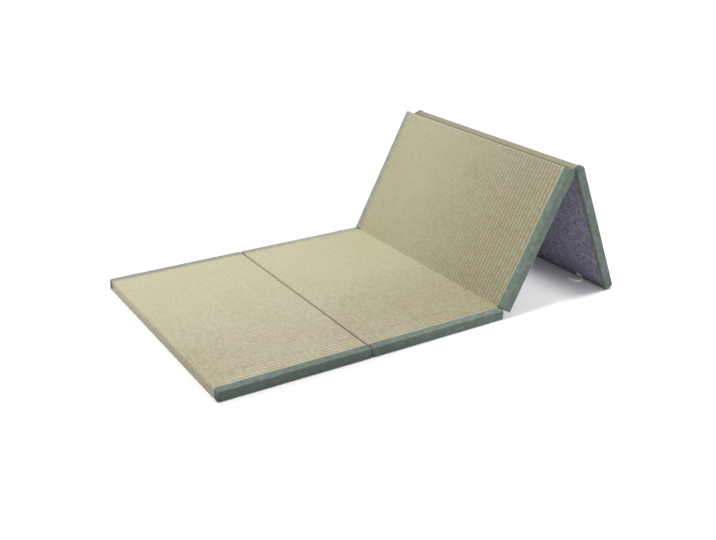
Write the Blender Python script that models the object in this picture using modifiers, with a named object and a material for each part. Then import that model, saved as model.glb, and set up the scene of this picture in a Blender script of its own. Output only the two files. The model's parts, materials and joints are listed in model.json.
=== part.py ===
"""Folding tatami mat of four padded panels, set out with its last two panels as a tent.

Panels 1 and 2 lie flat.  Panel 3 rises from the end of panel 2, and panel 4 comes back down
to the floor.  Metres, +Z up, +X along the row of panels, +Y across them; the origin is on
the floor under the middle of the mat.

Each panel has its own coordinates: u runs along it, y across it, and w up from its back.
"""

import math

import bmesh
import bpy
from mathutils import Matrix, Vector

# ---- Driving dimensions --------------------------------------------------------------
MAT_WIDTH = 0.920
PANEL_LENGTH = 0.500
PANEL_THICKNESS = 0.035
RISE_TILT = math.radians(61.8)      # panel 3, from the floor
SEAM_GAP = 0.003                    # between the bindings of panels 1 and 2
GAP = 0.0003                        # between pieces that touch

RUSH_THICKNESS = 0.002
RUSH_TURN_RADIUS = 0.005            # outer bend where the rush turns down over an end
RUSH_TURN_END = 0.009               # height above the back where the turned rush stops
RUSH_SIDE_INSET = 0.0085            # from the panel's side to the hidden edge of the rush

BINDING_THICKNESS = 0.0012
BINDING_ROUNDING = 0.006
STRIP_WIDTH = 0.030                 # of binding on the face
TAB_WIDTH = 0.028                   # of binding folded round a panel end
FLAP_WIDTH = 0.015                  # of binding on the back
FLAP_LIFT = 0.0001                  # of the flap above the plane of the back

PAD_ROUNDING = 0.0055
CROWN = 0.0018                      # swell of the rush side at the middle of a panel
CROWN_RAMP = 0.090                  # distance in which the crown rises
CROWN_STEPS = 3                     # facets along that rise
CROWN_END = 0.007                   # from a panel end to the foot of the crown

CREASE_HALF_GAP = 0.0013            # from the crease's axis to each binding
CREASE_INSET = 0.0005               # from a panel's creased end to its pad
CREASE_RADIUS = 0.0018              # inner bend of the rush in the crease
RIDGE_HALF_GAP = 0.002              # from the ridge's axis to each binding

HINGE_REACH = 0.025                 # of a hinge strip along each panel
HINGE_THICKNESS = 0.0018
HINGE_BEND_RADIUS = 0.002
HINGE_SIDE_GAP = 0.002              # from a hinge strip to the flaps

FOOT_FLAT_DEPTH = 0.0003            # pressed off the rounded foot where it meets the floor

RIBBON_WIDTH = 0.005
RIBBON_THICKNESS = 0.001
RIBBON_LEG = 0.022                  # straight stretch on each side of the loop
RIBBON_TURN_RADIUS = 0.019
RIBBON_TURN_STEPS = 16
RIBBON_ACROSS = -0.320              # place of its root across the mat
RIBBON_FELT_GAP = 0.0012            # from the foot's rounding to the ribbon's middle

STEP_WIDTH = 0.001                  # of the small steps pressed into a pad's back
BOX_SPARE = 0.018                   # added to a box past where its skin is cut back
FLOOR_CUTTER_SIZE = 0.08

ARC_STEPS = 4                       # facets in a quarter turn
SMOOTH_ANGLE = math.radians(40)     # sharper edges than this stay sharp
SLICE_TOLERANCE = 0.000001

# ---- Worked-out dimensions -----------------------------------------------------------
HALF_WIDTH = MAT_WIDTH / 2
FACE_INSET = BINDING_THICKNESS + GAP
RUSH_LEVEL = PANEL_THICKNESS - FACE_INSET
PAD_THICKNESS = RUSH_LEVEL - RUSH_THICKNESS - GAP
WRAPPED_INSET = FACE_INSET + RUSH_THICKNESS + GAP
FLAP_RECESS = FLAP_LIFT + BINDING_THICKNESS + GAP
HINGE_RECESS = FLAP_LIFT + HINGE_THICKNESS + GAP
CROWN_SIDE = HALF_WIDTH - STRIP_WIDTH - 0.001
CROWN_DISTANCES = [CROWN_RAMP * step / CROWN_STEPS for step in range(CROWN_STEPS + 1)]

# ---- Panels --------------------------------------------------------------------------
# "wrapped": rush and bindings are turned down over this end.
# "crease": the rush runs on over the next panel, and the bindings stop short.
PANEL_TABLE = (
    # number, start, end, end with a hinge strip let into the back
    ("1", "wrapped", "wrapped", "end"),
    ("2", "wrapped", "crease", "start"),
    ("3", "crease", "wrapped", "end"),
    ("4", "wrapped", "wrapped", "start"),
)

# ---- Materials -----------------------------------------------------------------------
MATERIAL_TABLE = {
    # name: (red, green, blue), roughness
    "rush": ((0.56, 0.52, 0.36), 0.65),
    "binding_cloth": ((0.19, 0.25, 0.22), 0.85),
    "felt": ((0.085, 0.075, 0.12), 0.95),
    "ribbon": ((0.72, 0.72, 0.75), 0.5),
}


class Panel:
    """A panel's place: where u and w are zero, and how far it is tilted up towards +X."""

    def __init__(self, row, origin, tilt):
        self.number, self.start, self.end, self.hinge_end = row
        self.origin = origin
        self.tilt = tilt
        self.along = Vector((math.cos(tilt), math.sin(tilt)))
        self.outward = Vector((-math.sin(tilt), math.cos(tilt)))

    def at(self, u, w):
        """The point (x, z) at u along the panel and w above its back."""
        return self.origin + u * self.along + w * self.outward


def fall_tilt(ridge_height):
    """Downward tilt of panel 4 that sets the lowest point of its rounded foot on the floor.

    With the tilt written as a, the middle of the foot's rounding is at
    ridge - reach * sin(a) + rise * cos(a), one rounding radius above the lowest point.
    """
    reach = PANEL_LENGTH - BINDING_ROUNDING + RIDGE_HALF_GAP
    rise = FLAP_LIFT + BINDING_ROUNDING
    drop = ridge_height - BINDING_ROUNDING + FOOT_FLAT_DEPTH
    return math.asin(drop / math.hypot(reach, rise)) + math.atan2(rise, reach)


def place_panels():
    """The four panels in a row from x = 0, each hung on the one before."""
    rows = PANEL_TABLE
    first = Panel(rows[0], Vector((0, 0)), 0.0)
    second = Panel(rows[1], first.at(PANEL_LENGTH + SEAM_GAP, 0), 0.0)
    crease = second.at(PANEL_LENGTH + CREASE_HALF_GAP, RUSH_LEVEL)
    leaning = Panel(rows[2], Vector((0, 0)), RISE_TILT)
    third = Panel(rows[2], crease - leaning.at(-CREASE_HALF_GAP, RUSH_LEVEL), RISE_TILT)
    ridge = third.at(PANEL_LENGTH + RIDGE_HALF_GAP, 0)
    tilt = -fall_tilt(ridge.y)
    falling = Panel(rows[3], Vector((0, 0)), tilt)
    fourth = Panel(rows[3], ridge - falling.at(-RIDGE_HALF_GAP, 0), tilt)
    return [first, second, third, fourth]


def middle_of_row(panels):
    """X halfway between the free end of panel 1 and the outer foot of panel 4."""
    foot = panels[3].at(PANEL_LENGTH - BINDING_ROUNDING, PANEL_THICKNESS - BINDING_ROUNDING)
    return (foot.x + BINDING_ROUNDING) / 2


# ---- Shape of a panel ----------------------------------------------------------------
def ramp(distance):
    """Rises from 0 to 1 over CROWN_RAMP, steep at first, as filled cloth does at a seam."""
    left = 1 - min(max(distance / CROWN_RAMP, 0), 1)
    return 1 - left * left


def crown(u, y):
    """Swell of the rush side, nothing under the bindings and at the ends."""
    from_end = min(u, PANEL_LENGTH - u) - CROWN_END
    return CROWN * ramp(from_end) * ramp(CROWN_SIDE - abs(y))


def back_recess(panel, u, y):
    """How far the back is pressed in under the bindings' flaps and the hinge strip."""
    from_hinge = PANEL_LENGTH - u if panel.hinge_end == "end" else u
    if from_hinge < HINGE_REACH + STEP_WIDTH:
        return HINGE_RECESS
    if abs(y) > HALF_WIDTH - FLAP_WIDTH - STEP_WIDTH:
        return FLAP_RECESS
    return 0.0


def stations_along():
    """Places along a panel where the crown bends."""
    from_start = [CROWN_END + distance for distance in CROWN_DISTANCES]
    return from_start + [PANEL_LENGTH - u for u in reversed(from_start)]


def stations_across():
    """Places across the mat where the crown bends."""
    from_side = [CROWN_SIDE - distance for distance in CROWN_DISTANCES]
    return [-y for y in from_side] + list(reversed(from_side))


# ---- Building ------------------------------------------------------------------------
def clear_scene():
    """Removes every object of the file the script starts in."""
    for item in list(bpy.data.objects):
        bpy.data.objects.remove(item, do_unlink=True)


def make_collection(name):
    """A new collection in the scene."""
    collection = bpy.data.collections.new(name)
    bpy.context.scene.collection.children.link(collection)
    return collection


def make_material(name):
    """A plain material in its row's colour."""
    colour, roughness = MATERIAL_TABLE[name]
    material = bpy.data.materials.new(name)
    material.use_nodes = True
    shader = material.node_tree.nodes["Principled BSDF"]
    shader.inputs["Base Color"].default_value = (*colour, 1.0)
    shader.inputs["Roughness"].default_value = roughness
    shader.inputs["Metallic"].default_value = 0.0
    return material


def add_object(name, bm, material, collection, parent):
    """Makes an object of a bmesh, which is freed."""
    mesh = bpy.data.meshes.new(name)
    bm.to_mesh(mesh)
    bm.free()
    mesh.materials.append(bpy.data.materials[material])
    mesh.shade_smooth()
    mesh.set_sharp_from_angle(angle=SMOOTH_ANGLE)
    item = bpy.data.objects.new(name, mesh)
    item.parent = parent
    collection.objects.link(item)
    return item


def put_on_panel(item, panel):
    """Stands an object made in panel coordinates in its place in the row."""
    item.location = (panel.origin.x, 0, panel.origin.y)
    item.rotation_euler = (0, -panel.tilt, 0)


def thicken(item, thickness, offset=-1):
    """Gives an open surface its thickness: behind its faces, or half each way at offset 0."""
    solidify = item.modifiers.new("thickness", "SOLIDIFY")
    solidify.thickness = thickness
    solidify.offset = offset
    solidify.use_even_offset = True


def rounded_box(low, high, rounding):
    """A box between two corners with all its edges rounded."""
    bm = bmesh.new()
    size = [b - a for a, b in zip(low, high)]
    middle = [(a + b) / 2 for a, b in zip(low, high)]
    bmesh.ops.create_cube(bm, size=1, matrix=Matrix.LocRotScale(Vector(middle), None, Vector(size)))
    bmesh.ops.bevel(bm, geom=bm.edges[:], offset=rounding, segments=ARC_STEPS, profile=0.5, affect="EDGES")
    return bm


def slice_mesh(bm, axis, places):
    """Adds a line of edges round the mesh at each place along an axis."""
    normal = Vector([float(axis == index) for index in range(3)])
    for place in places:
        everything = bm.verts[:] + bm.edges[:] + bm.faces[:]
        bmesh.ops.bisect_plane(bm, geom=everything, dist=SLICE_TOLERANCE, plane_co=normal * place, plane_no=normal)


def pad_edge_steps(panel):
    """Slices on both sides of each step in a pad's back: (places along, places across)."""
    near = STEP_WIDTH / 2
    far = near + STEP_WIDTH
    hinge = [HINGE_REACH + near, HINGE_REACH + far]
    if panel.hinge_end == "end":
        hinge = [PANEL_LENGTH - u for u in hinge]
    flap = [HALF_WIDTH - FLAP_WIDTH - near, HALF_WIDTH - FLAP_WIDTH - far]
    return hinge, flap + [-y for y in flap]


def make_pad(panel, collection, parent):
    """A panel's filled body: flat felt back, crowned front, rounded all round."""
    inset = {"wrapped": WRAPPED_INSET, "crease": CREASE_INSET}
    half = HALF_WIDTH - FACE_INSET
    low = (inset[panel.start], -half, 0)
    high = (PANEL_LENGTH - inset[panel.end], half, PAD_THICKNESS)
    bm = rounded_box(low, high, PAD_ROUNDING)
    hinge_steps, flap_steps = pad_edge_steps(panel)
    slice_mesh(bm, 0, stations_along() + hinge_steps)
    slice_mesh(bm, 1, stations_across() + flap_steps)
    for vert in bm.verts:
        share = vert.co.z / PAD_THICKNESS
        pressed = back_recess(panel, vert.co.x, vert.co.y) * (1 - share)
        vert.co.z += pressed + crown(vert.co.x, vert.co.y) * share
    put_on_panel(add_object("pad_" + panel.number, bm, "felt", collection, parent), panel)


def turned_end(start):
    """Rush profile (u, w) over a wrapped end at u = 0, from its lower edge up to the face.

    For the far end the same profile is mirrored and run backwards.
    """
    radius = RUSH_TURN_RADIUS
    middle = (FACE_INSET + radius, RUSH_LEVEL - radius)
    profile = [(FACE_INSET, RUSH_TURN_END)]
    for step in range(ARC_STEPS + 1):
        angle = math.pi / 2 * step / ARC_STEPS
        profile.append((middle[0] - radius * math.cos(angle), middle[1] + radius * math.sin(angle)))
    if start:
        return profile
    return [(PANEL_LENGTH - u, w) for u, w in reversed(profile)]


def crease_turn():
    """Rush profile (u, w) round the crease, in the coordinates of the panel before it."""
    tangent = CREASE_RADIUS * math.tan(RISE_TILT / 2)
    middle = (PANEL_LENGTH + CREASE_HALF_GAP - tangent, RUSH_LEVEL + CREASE_RADIUS)
    profile = []
    for step in range(ARC_STEPS + 1):
        angle = RISE_TILT * step / ARC_STEPS
        u = middle[0] + CREASE_RADIUS * math.sin(angle)
        profile.append((u, middle[1] - CREASE_RADIUS * math.cos(angle)))
    return profile


def facing_rows(panel):
    """Rows (panel, u, w) of the rush over one panel, with whatever its ends have."""
    rows = [(u, RUSH_LEVEL) for u in stations_along()]
    if panel.start == "wrapped":
        rows = turned_end(True) + rows
    if panel.end == "wrapped":
        rows = rows + turned_end(False)
    if panel.end == "crease":
        rows = rows + crease_turn()
    return [(panel, u, w) for u, w in rows]


def sheet_surface(rows, across):
    """An open surface through the rows, each row a line of points across the mat."""
    bm = bmesh.new()
    lines = []
    for panel, u, w in rows:
        points = [panel.at(u, w + crown(u, y)) for y in across]
        lines.append([bm.verts.new((p.x, y, p.y)) for p, y in zip(points, across)])
    for line, following in zip(lines, lines[1:]):
        for index in range(len(across) - 1):
            bm.faces.new((line[index], following[index], following[index + 1], line[index + 1]))
    return bm


def make_facing(name, panels, collection, parent):
    """A woven rush sheet over one panel, or over two with the crease between them."""
    edge = HALF_WIDTH - RUSH_SIDE_INSET
    rows = [row for panel in panels for row in facing_rows(panel)]
    bm = sheet_surface(rows, [-edge] + stations_across() + [edge])
    thicken(add_object(name, bm, "rush", collection, parent), RUSH_THICKNESS)


def hinge_turn(fold):
    """Arc (u, w) of a hinge strip's outer face round a ridge, in the panel before it.

    The ridge's axis lies in the plane of both backs, and the strip's face lies FLAP_LIFT
    above them, so its two stretches meet FLAP_LIFT * tan(fold / 2) past the axis.
    """
    slope = math.tan(fold / 2)
    corner = PANEL_LENGTH + RIDGE_HALF_GAP + FLAP_LIFT * slope
    middle = (corner - HINGE_BEND_RADIUS * slope, FLAP_LIFT - HINGE_BEND_RADIUS)
    steps = 2 * ARC_STEPS
    profile = []
    for step in range(steps + 1):
        angle = fold * step / steps
        u = middle[0] + HINGE_BEND_RADIUS * math.sin(angle)
        profile.append((u, middle[1] + HINGE_BEND_RADIUS * math.cos(angle)))
    return profile


def hinge_rows(before, after):
    """Rows (panel, u, w) of a hinge strip's outer face, bent where the two backs meet."""
    fold = before.tilt - after.tilt
    turn = hinge_turn(fold) if fold > 0 else []
    rows = [(before, PANEL_LENGTH - HINGE_REACH, FLAP_LIFT)]
    rows += [(before, u, w) for u, w in turn]
    return rows + [(after, HINGE_REACH, FLAP_LIFT)]


def make_hinge_strip(name, before, after, collection, parent):
    """A felt strip across two backs, with its thickness inside them."""
    edge = HALF_WIDTH - FLAP_WIDTH - HINGE_SIDE_GAP
    bm = sheet_surface(hinge_rows(before, after), [-edge, edge])
    bmesh.ops.reverse_faces(bm, faces=bm.faces[:])
    thicken(add_object(name, bm, "felt", collection, parent), HINGE_THICKNESS)


def binding_reach(height):
    """How far inwards from the side the binding reaches at a height above the back."""
    if height < FLAP_LIFT + BINDING_ROUNDING:
        return FLAP_WIDTH
    if height < PANEL_THICKNESS - BINDING_ROUNDING:
        return TAB_WIDTH
    return STRIP_WIDTH


def make_binding(panel, side, collection, parent):
    """A binding along one side: the skin of a rounded box, cut back to the cloth's reach.

    It is made with y running inwards from the side, then turned to the front or the back.
    """
    start = -BOX_SPARE if panel.start == "crease" else 0
    end = PANEL_LENGTH + (BOX_SPARE if panel.end == "crease" else 0)
    high = (end, STRIP_WIDTH + BOX_SPARE, PANEL_THICKNESS)
    bm = rounded_box((start, 0, FLAP_LIFT), high, BINDING_ROUNDING)
    slice_mesh(bm, 1, (FLAP_WIDTH, TAB_WIDTH, STRIP_WIDTH))
    slice_mesh(bm, 0, (0, PANEL_LENGTH))
    unwanted = []
    for face in bm.faces:
        middle = face.calc_center_median()
        past_end = not 0 <= middle.x <= PANEL_LENGTH
        if past_end or middle.y > binding_reach(middle.z):
            unwanted.append(face)
    bmesh.ops.delete(bm, geom=unwanted, context="FACES")
    name = "binding_front_" if side < 0 else "binding_back_"
    for vert in bm.verts:
        vert.co.y = side * (HALF_WIDTH - vert.co.y)
    if side > 0:
        bmesh.ops.reverse_faces(bm, faces=bm.faces[:])
    item = add_object(name + panel.number, bm, "binding_cloth", collection, parent)
    put_on_panel(item, panel)
    thicken(item, BINDING_THICKNESS)
    return item


def make_floor_cutter(foot, collection, parent):
    """A block with its top on the floor plane, across the whole foot."""
    size = Vector((FLOOR_CUTTER_SIZE, MAT_WIDTH + FLOOR_CUTTER_SIZE, FLOOR_CUTTER_SIZE))
    place = Vector((foot.x, 0, -FLOOR_CUTTER_SIZE / 2))
    bm = bmesh.new()
    bmesh.ops.create_cube(bm, size=1, matrix=Matrix.LocRotScale(place, None, size))
    cutter = add_object("floor_cutter", bm, "felt", collection, parent)
    cutter.hide_render = True
    cutter.display_type = "WIRE"
    return cutter


def flatten_foot(item, cutter):
    """Takes off what would press into the floor, which leaves a small flat to rest on."""
    trim = item.modifiers.new("foot_flat", "BOOLEAN")
    trim.operation = "DIFFERENCE"
    trim.object = cutter


def ribbon_outline():
    """Middle line (x, y) of the ribbon from above: a leg, a half turn and a leg back."""
    outline = [(0, 0)]
    for step in range(RIBBON_TURN_STEPS + 1):
        angle = math.pi * step / RIBBON_TURN_STEPS
        out = RIBBON_TURN_RADIUS * (1 - math.cos(angle))
        outline.append((-out, -RIBBON_LEG - RIBBON_TURN_RADIUS * math.sin(angle)))
    outline.append((-2 * RIBBON_TURN_RADIUS, 0))
    return outline


def make_ribbon_tab(panel, collection, parent):
    """A ribbon loop on its edge, sewn to the felt at the last panel's foot."""
    bm = bmesh.new()
    lines = []
    for x, y in ribbon_outline():
        lines.append([bm.verts.new((x, y, z)) for z in (FLAP_LIFT, FLAP_LIFT + RIBBON_WIDTH)])
    for line, following in zip(lines, lines[1:]):
        bm.faces.new((line[0], line[1], following[1], following[0]))
    item = add_object("ribbon_tab", bm, "ribbon", collection, parent)
    root = panel.at(PANEL_LENGTH - BINDING_ROUNDING, 0)
    item.location = (root.x - RIBBON_FELT_GAP, RIBBON_ACROSS, 0)
    thicken(item, RIBBON_THICKNESS, offset=0)


def build():
    """Makes the whole mat."""
    clear_scene()
    for name in MATERIAL_TABLE:
        make_material(name)
    parts = make_collection("tatami_mat")
    cutters = make_collection("cutters")

    panels = place_panels()
    first, second, third, fourth = panels
    root = bpy.data.objects.new("mat_root", None)
    root.location = (-middle_of_row(panels), 0, 0)
    parts.objects.link(root)

    for panel in panels:
        make_pad(panel, parts, root)
    make_facing("rush_facing_1", [first], parts, root)
    make_facing("rush_facing_23", [second, third], parts, root)
    make_facing("rush_facing_4", [fourth], parts, root)
    make_hinge_strip("hinge_strip_12", first, second, parts, root)
    make_hinge_strip("hinge_strip_34", third, fourth, parts, root)
    cutter = make_floor_cutter(fourth.at(PANEL_LENGTH, 0), cutters, root)
    for side in (-1, 1):
        for panel in panels:
            binding = make_binding(panel, side, parts, root)
            if panel is fourth:
                flatten_foot(binding, cutter)
    make_ribbon_tab(fourth, parts, root)


build()
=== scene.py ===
"""Looks of a folding tatami mat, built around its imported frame.

Four padded panels stand in a row: two lie flat, and two stand as a tent.  Each panel has a
felt body, a facing of woven rush and a cloth binding along both long sides.  Every piece is a
surface worked out on a grid in the coordinates of its panel, where u runs along the panel,
y across it and w up from its back, and is then stood in the panel's place in the frame.

Metres, +Z up, +X along the row of panels, +Y across them, as in the frame.
"""

import json
import logging
import math
from dataclasses import dataclass, field
from enum import Enum
from typing import Callable, Mapping, Sequence, Union

import bmesh
import bpy
import numpy as np
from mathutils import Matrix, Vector

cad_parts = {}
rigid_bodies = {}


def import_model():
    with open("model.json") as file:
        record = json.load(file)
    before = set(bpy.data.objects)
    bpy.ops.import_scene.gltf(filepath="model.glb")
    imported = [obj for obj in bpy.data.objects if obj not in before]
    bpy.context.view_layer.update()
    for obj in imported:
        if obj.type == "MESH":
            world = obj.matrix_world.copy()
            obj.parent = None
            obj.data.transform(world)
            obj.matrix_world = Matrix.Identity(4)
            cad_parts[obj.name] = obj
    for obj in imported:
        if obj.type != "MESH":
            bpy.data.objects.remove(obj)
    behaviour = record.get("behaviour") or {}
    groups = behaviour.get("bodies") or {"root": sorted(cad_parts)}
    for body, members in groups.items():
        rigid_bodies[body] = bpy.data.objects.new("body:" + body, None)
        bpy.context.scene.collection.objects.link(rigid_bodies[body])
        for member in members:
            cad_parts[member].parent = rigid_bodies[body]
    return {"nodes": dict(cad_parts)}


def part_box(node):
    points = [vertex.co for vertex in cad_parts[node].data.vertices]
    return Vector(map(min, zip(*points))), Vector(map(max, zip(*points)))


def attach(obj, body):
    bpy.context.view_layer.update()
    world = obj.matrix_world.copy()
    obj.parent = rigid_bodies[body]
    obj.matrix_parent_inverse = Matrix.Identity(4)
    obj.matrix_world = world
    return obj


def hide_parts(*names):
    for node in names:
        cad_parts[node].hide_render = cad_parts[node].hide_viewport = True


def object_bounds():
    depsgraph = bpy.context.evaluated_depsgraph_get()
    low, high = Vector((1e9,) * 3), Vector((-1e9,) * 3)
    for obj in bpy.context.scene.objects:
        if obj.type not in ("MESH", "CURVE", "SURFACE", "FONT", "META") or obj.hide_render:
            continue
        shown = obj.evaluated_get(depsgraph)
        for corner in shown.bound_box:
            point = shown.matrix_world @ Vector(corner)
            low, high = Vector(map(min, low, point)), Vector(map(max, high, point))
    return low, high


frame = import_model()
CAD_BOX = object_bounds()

LOG = logging.getLogger("tatami_mat")
BODY = "root"
CLOTH_MAP = "cloth"                 # name of the UV map, which holds metres along and across the cloth
WELD_DISTANCE = 1e-6
FLOOR_CLEARANCE = 0.00002           # least height of a binding's outer face above the floor
RAISED_OFF_FLOOR = 0.00036          # height of the stitches' middles under the panels that lie
LATTICE = 64                        # corners each way in the random lattice behind the noise
LINING_STEP = 0.030                 # greatest step along a closed sheet's inner face
LINING_TURN = math.radians(14)      # greatest turn in one such step

Array = np.ndarray
Colour = tuple[float, float, float, float]


# ---- Sizes ---------------------------------------------------------------------------------
@dataclass(frozen=True)
class MatSizes:
    """Sizes that the pieces share, in metres. The panels' places come from the frame."""

    thickness: float = 0.035        # of a panel, over its bindings
    half_width: float = 0.460
    gap: float = 0.0003             # between pieces that touch
    rounding: float = 0.006         # of a panel's edges, over the binding
    binding_cloth: float = 0.0012
    strip: float = 0.030            # of binding on the face
    strip_spread: float = 0.007     # added to it at the foot of the panel that rises
    strip_draw: float = 0.003       # taken off it at the ridge
    tab: float = 0.028              # of binding round a panel's end
    flap: float = 0.015             # of binding on the back
    flap_lift: float = 0.0001
    rush: float = 0.002
    rush_turn: float = 0.005        # radius of the rush where it turns down over an end
    rush_turn_end: float = 0.009    # height above the back where the turned rush stops
    rush_ridge_end: float = 0.005   # the same at the ridge
    rush_free_end: float = 0.0035   # the same at the first panel's free end
    rush_side_inset: float = 0.0085
    crown: float = 0.0018
    crown_ramp: float = 0.090
    crown_end: float = 0.007
    crease_gap: float = 0.0013      # from the crease's axis to each binding
    crease_inset: float = 0.0005
    crease_radius: float = 0.0018
    ridge_gap: float = 0.002        # from the ridge's axis to each binding
    hinge_reach: float = 0.025
    hinge_cloth: float = 0.0018
    hinge_bend: float = 0.002
    hinge_side_gap: float = 0.002
    pad_rounding: float = 0.0055
    recess_step: float = 0.001      # of the small steps pressed into a pad's back
    rib_pitch: float = 0.015
    rib_depth: float = 0.0009

    @property
    def face_inset(self) -> float:
        """From the binding's outer face to the rush's."""
        return self.binding_cloth + self.gap

    @property
    def rush_level(self) -> float:
        """Height of the rush's outer face above the back."""
        return self.thickness - self.face_inset

    @property
    def pad_thickness(self) -> float:
        """Height of the felt body without its crown."""
        return self.rush_level - self.rush - self.gap

    @property
    def open_half_width(self) -> float:
        """From the middle of the mat to the inner edge of a binding's strip."""
        return self.half_width - self.strip

    def swell(self, from_end: Array, y: Array) -> Array:
        """Crown of the rush side: the product of two ramps of the form 1 - (1 - t)^2.

        Args:
            from_end: distance from the nearer end of the panel.
            y: place across the mat.

        Returns:
            Height above the flat face.
        """
        return (
            self.crown
            * self._ramp(from_end - self.crown_end)
            * self._ramp(self.open_half_width - 0.001 - np.abs(y))
        )

    def _ramp(self, distance: Array) -> Array:
        """Rises from 0 to 1 over the crown's ramp, steep at first."""
        left = 1 - np.clip(distance / self.crown_ramp, 0, 1)
        return 1 - left * left


SIZES = MatSizes()


class End(Enum):
    """What a panel's end does."""

    WRAPPED = "wrapped"             # rush and bindings are turned down over it
    CREASED = "creased"             # the rush runs on over the next panel


class Side(Enum):
    """Long side of the mat; the value is the sign of y there."""

    FRONT = -1
    BACK = 1

    @property
    def word(self) -> str:
        """The side's name in lower case."""
        return self.name.lower()


# ---- Numbers on arrays ---------------------------------------------------------------------
def smooth(x: Array, low: float, high: float) -> Array:
    """Goes from 0 at low to 1 at high as 3t^2 - 2t^3."""
    t = np.clip((np.asarray(x) - low) / (high - low), 0.0, 1.0)
    return t * t * (3 - 2 * t)


def noise(x: Array, y: Array, cell: float, seed: int) -> Array:
    """Value noise between -1 and 1.

    Random heights at the corners of a square lattice are blended inside each cell with the
    smooth step 3t^2 - 2t^3 along both of its sides.

    Args:
        x: first coordinate.
        y: second coordinate, which broadcasts with the first.
        cell: side of a lattice cell, in the coordinates' unit.
        seed: which lattice.

    Returns:
        Noise in the broadcast shape.
    """
    lattice = np.random.default_rng(seed).uniform(-1, 1, (LATTICE, LATTICE))
    x, y = np.broadcast_arrays(np.asarray(x) / cell, np.asarray(y) / cell)
    column, row = np.floor(x).astype(int), np.floor(y).astype(int)
    a, b = smooth(x - column, 0, 1), smooth(y - row, 0, 1)
    left, right = column % LATTICE, (column + 1) % LATTICE
    low, high = row % LATTICE, (row + 1) % LATTICE
    below = lattice[left, low] * (1 - a) + lattice[right, low] * a
    above = lattice[left, high] * (1 - a) + lattice[right, high] * a
    return below * (1 - b) + above * b


def round_stations(length: float, radius: float, step: float, ends: tuple[bool, bool]) -> Array:
    """Places along one side of a rounded box, from 0 to its length.

    Near a rounded end the distance past the tangent point is radius * tan(angle) for equal
    steps of the angle up to 45 degrees, so that the rounded edge gets even facets.

    Args:
        length: the side's length.
        radius: rounding of the box.
        step: greatest step between the rounded ends.
        ends: whether the low end and the high end are rounded.

    Returns:
        Places in rising order.
    """
    turn = radius * (1 - np.tan(np.linspace(math.pi / 4, 0, 6)))
    low = turn if ends[0] else np.array([0.0])
    high = length - turn[::-1] if ends[1] else np.array([length])
    steps = max(1, math.ceil((high[0] - low[-1]) / step))
    return np.concatenate([low[:-1], np.linspace(low[-1], high[0], steps + 1), high[1:]])


def arc(middle: tuple[float, float], radius: float, first: float, last: float,
        steps: int) -> tuple[Array, Array]:
    """Points middle + radius * (cos a, sin a) on an arc, and their directions from its middle."""
    angle = np.linspace(first, last, steps + 1)
    direction = np.stack([np.cos(angle), np.sin(angle)], axis=-1)
    return np.asarray(middle) + radius * direction, direction


# ---- Panels --------------------------------------------------------------------------------
@dataclass(frozen=True)
class Panel:
    """A panel's place in the frame: where u and w are zero, and its tilt up towards +X."""

    number: int
    origin: Array
    tilt: float
    length: float
    start: End
    end: End
    hinge_at_end: bool

    @classmethod
    def from_frame(cls, number: int, start: End, end: End, hinge_at_end: bool) -> "Panel":
        """Reads a panel's tilt off the flat of its pad, and its place off its front binding.

        Args:
            number: the panel's number in the names of its nodes.
            start: what its first end does.
            end: what its last end does.
            hinge_at_end: whether the hinge strip in its back is at its last end.

        Returns:
            The panel.
        """
        flats = frame["nodes"][f"pad_{number}"].data.polygons
        areas = np.empty(len(flats))
        normals = np.empty(len(flats) * 3)
        flats.foreach_get("area", areas)
        flats.foreach_get("normal", normals)
        flat = normals.reshape(-1, 3)[areas.argmax()]
        flat = flat * np.sign(flat[2])
        tilt = math.atan2(-flat[0], flat[2])
        vertices = frame["nodes"][f"binding_front_{number}"].data.vertices
        points = np.empty(len(vertices) * 3)
        vertices.foreach_get("co", points)
        side_view = points.reshape(-1, 3)[:, [0, 2]]
        along = np.array([math.cos(tilt), math.sin(tilt)])
        outward = np.array([-math.sin(tilt), math.cos(tilt)])
        reach = side_view @ along
        back = (side_view @ outward).max() - SIZES.thickness
        origin = reach.min() * along + back * outward
        return cls(number, origin, tilt, float(np.ptp(reach)), start, end, hinge_at_end)

    @property
    def rotation(self) -> Array:
        """Rows that turn (u, w) into (x, z)."""
        cosine, sine = math.cos(self.tilt), math.sin(self.tilt)
        return np.array([[cosine, sine], [-sine, cosine]])

    def section(self, uw: Array) -> Array:
        """Points (x, z) of points (u, w)."""
        return self.origin + np.asarray(uw) @ self.rotation

    def place(self, u: Array, y: Array, w: Array) -> Array:
        """Points in the frame of u, y and w, which broadcast together."""
        u, y, w = np.broadcast_arrays(u, y, w)
        xz = self.section(np.stack([u, w], axis=-1))
        return np.stack([xz[..., 0], y, xz[..., 1]], axis=-1)

    def direction(self, u: float, y: float, w: float) -> Array:
        """A direction in the frame of one given along u, y and w."""
        xz = np.array([u, w]) @ self.rotation
        return np.array([xz[0], y, xz[1]])

    @property
    def lies(self) -> bool:
        """Whether the panel lies flat."""
        return abs(self.tilt) < 0.01

    @property
    def rises(self) -> bool:
        """Whether the panel rises to the ridge."""
        return self.tilt > 0.01

    def strip(self, u: Array) -> Array:
        """Width of the binding on the face; on the rising panel it narrows from foot to ridge."""
        if not self.rises:
            return SIZES.strip + 0 * u
        spread = SIZES.strip_spread * smooth(u, 0.22, 0.0)
        return SIZES.strip + spread - SIZES.strip_draw * smooth(u, self.length - 0.20, self.length - 0.02)


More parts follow.
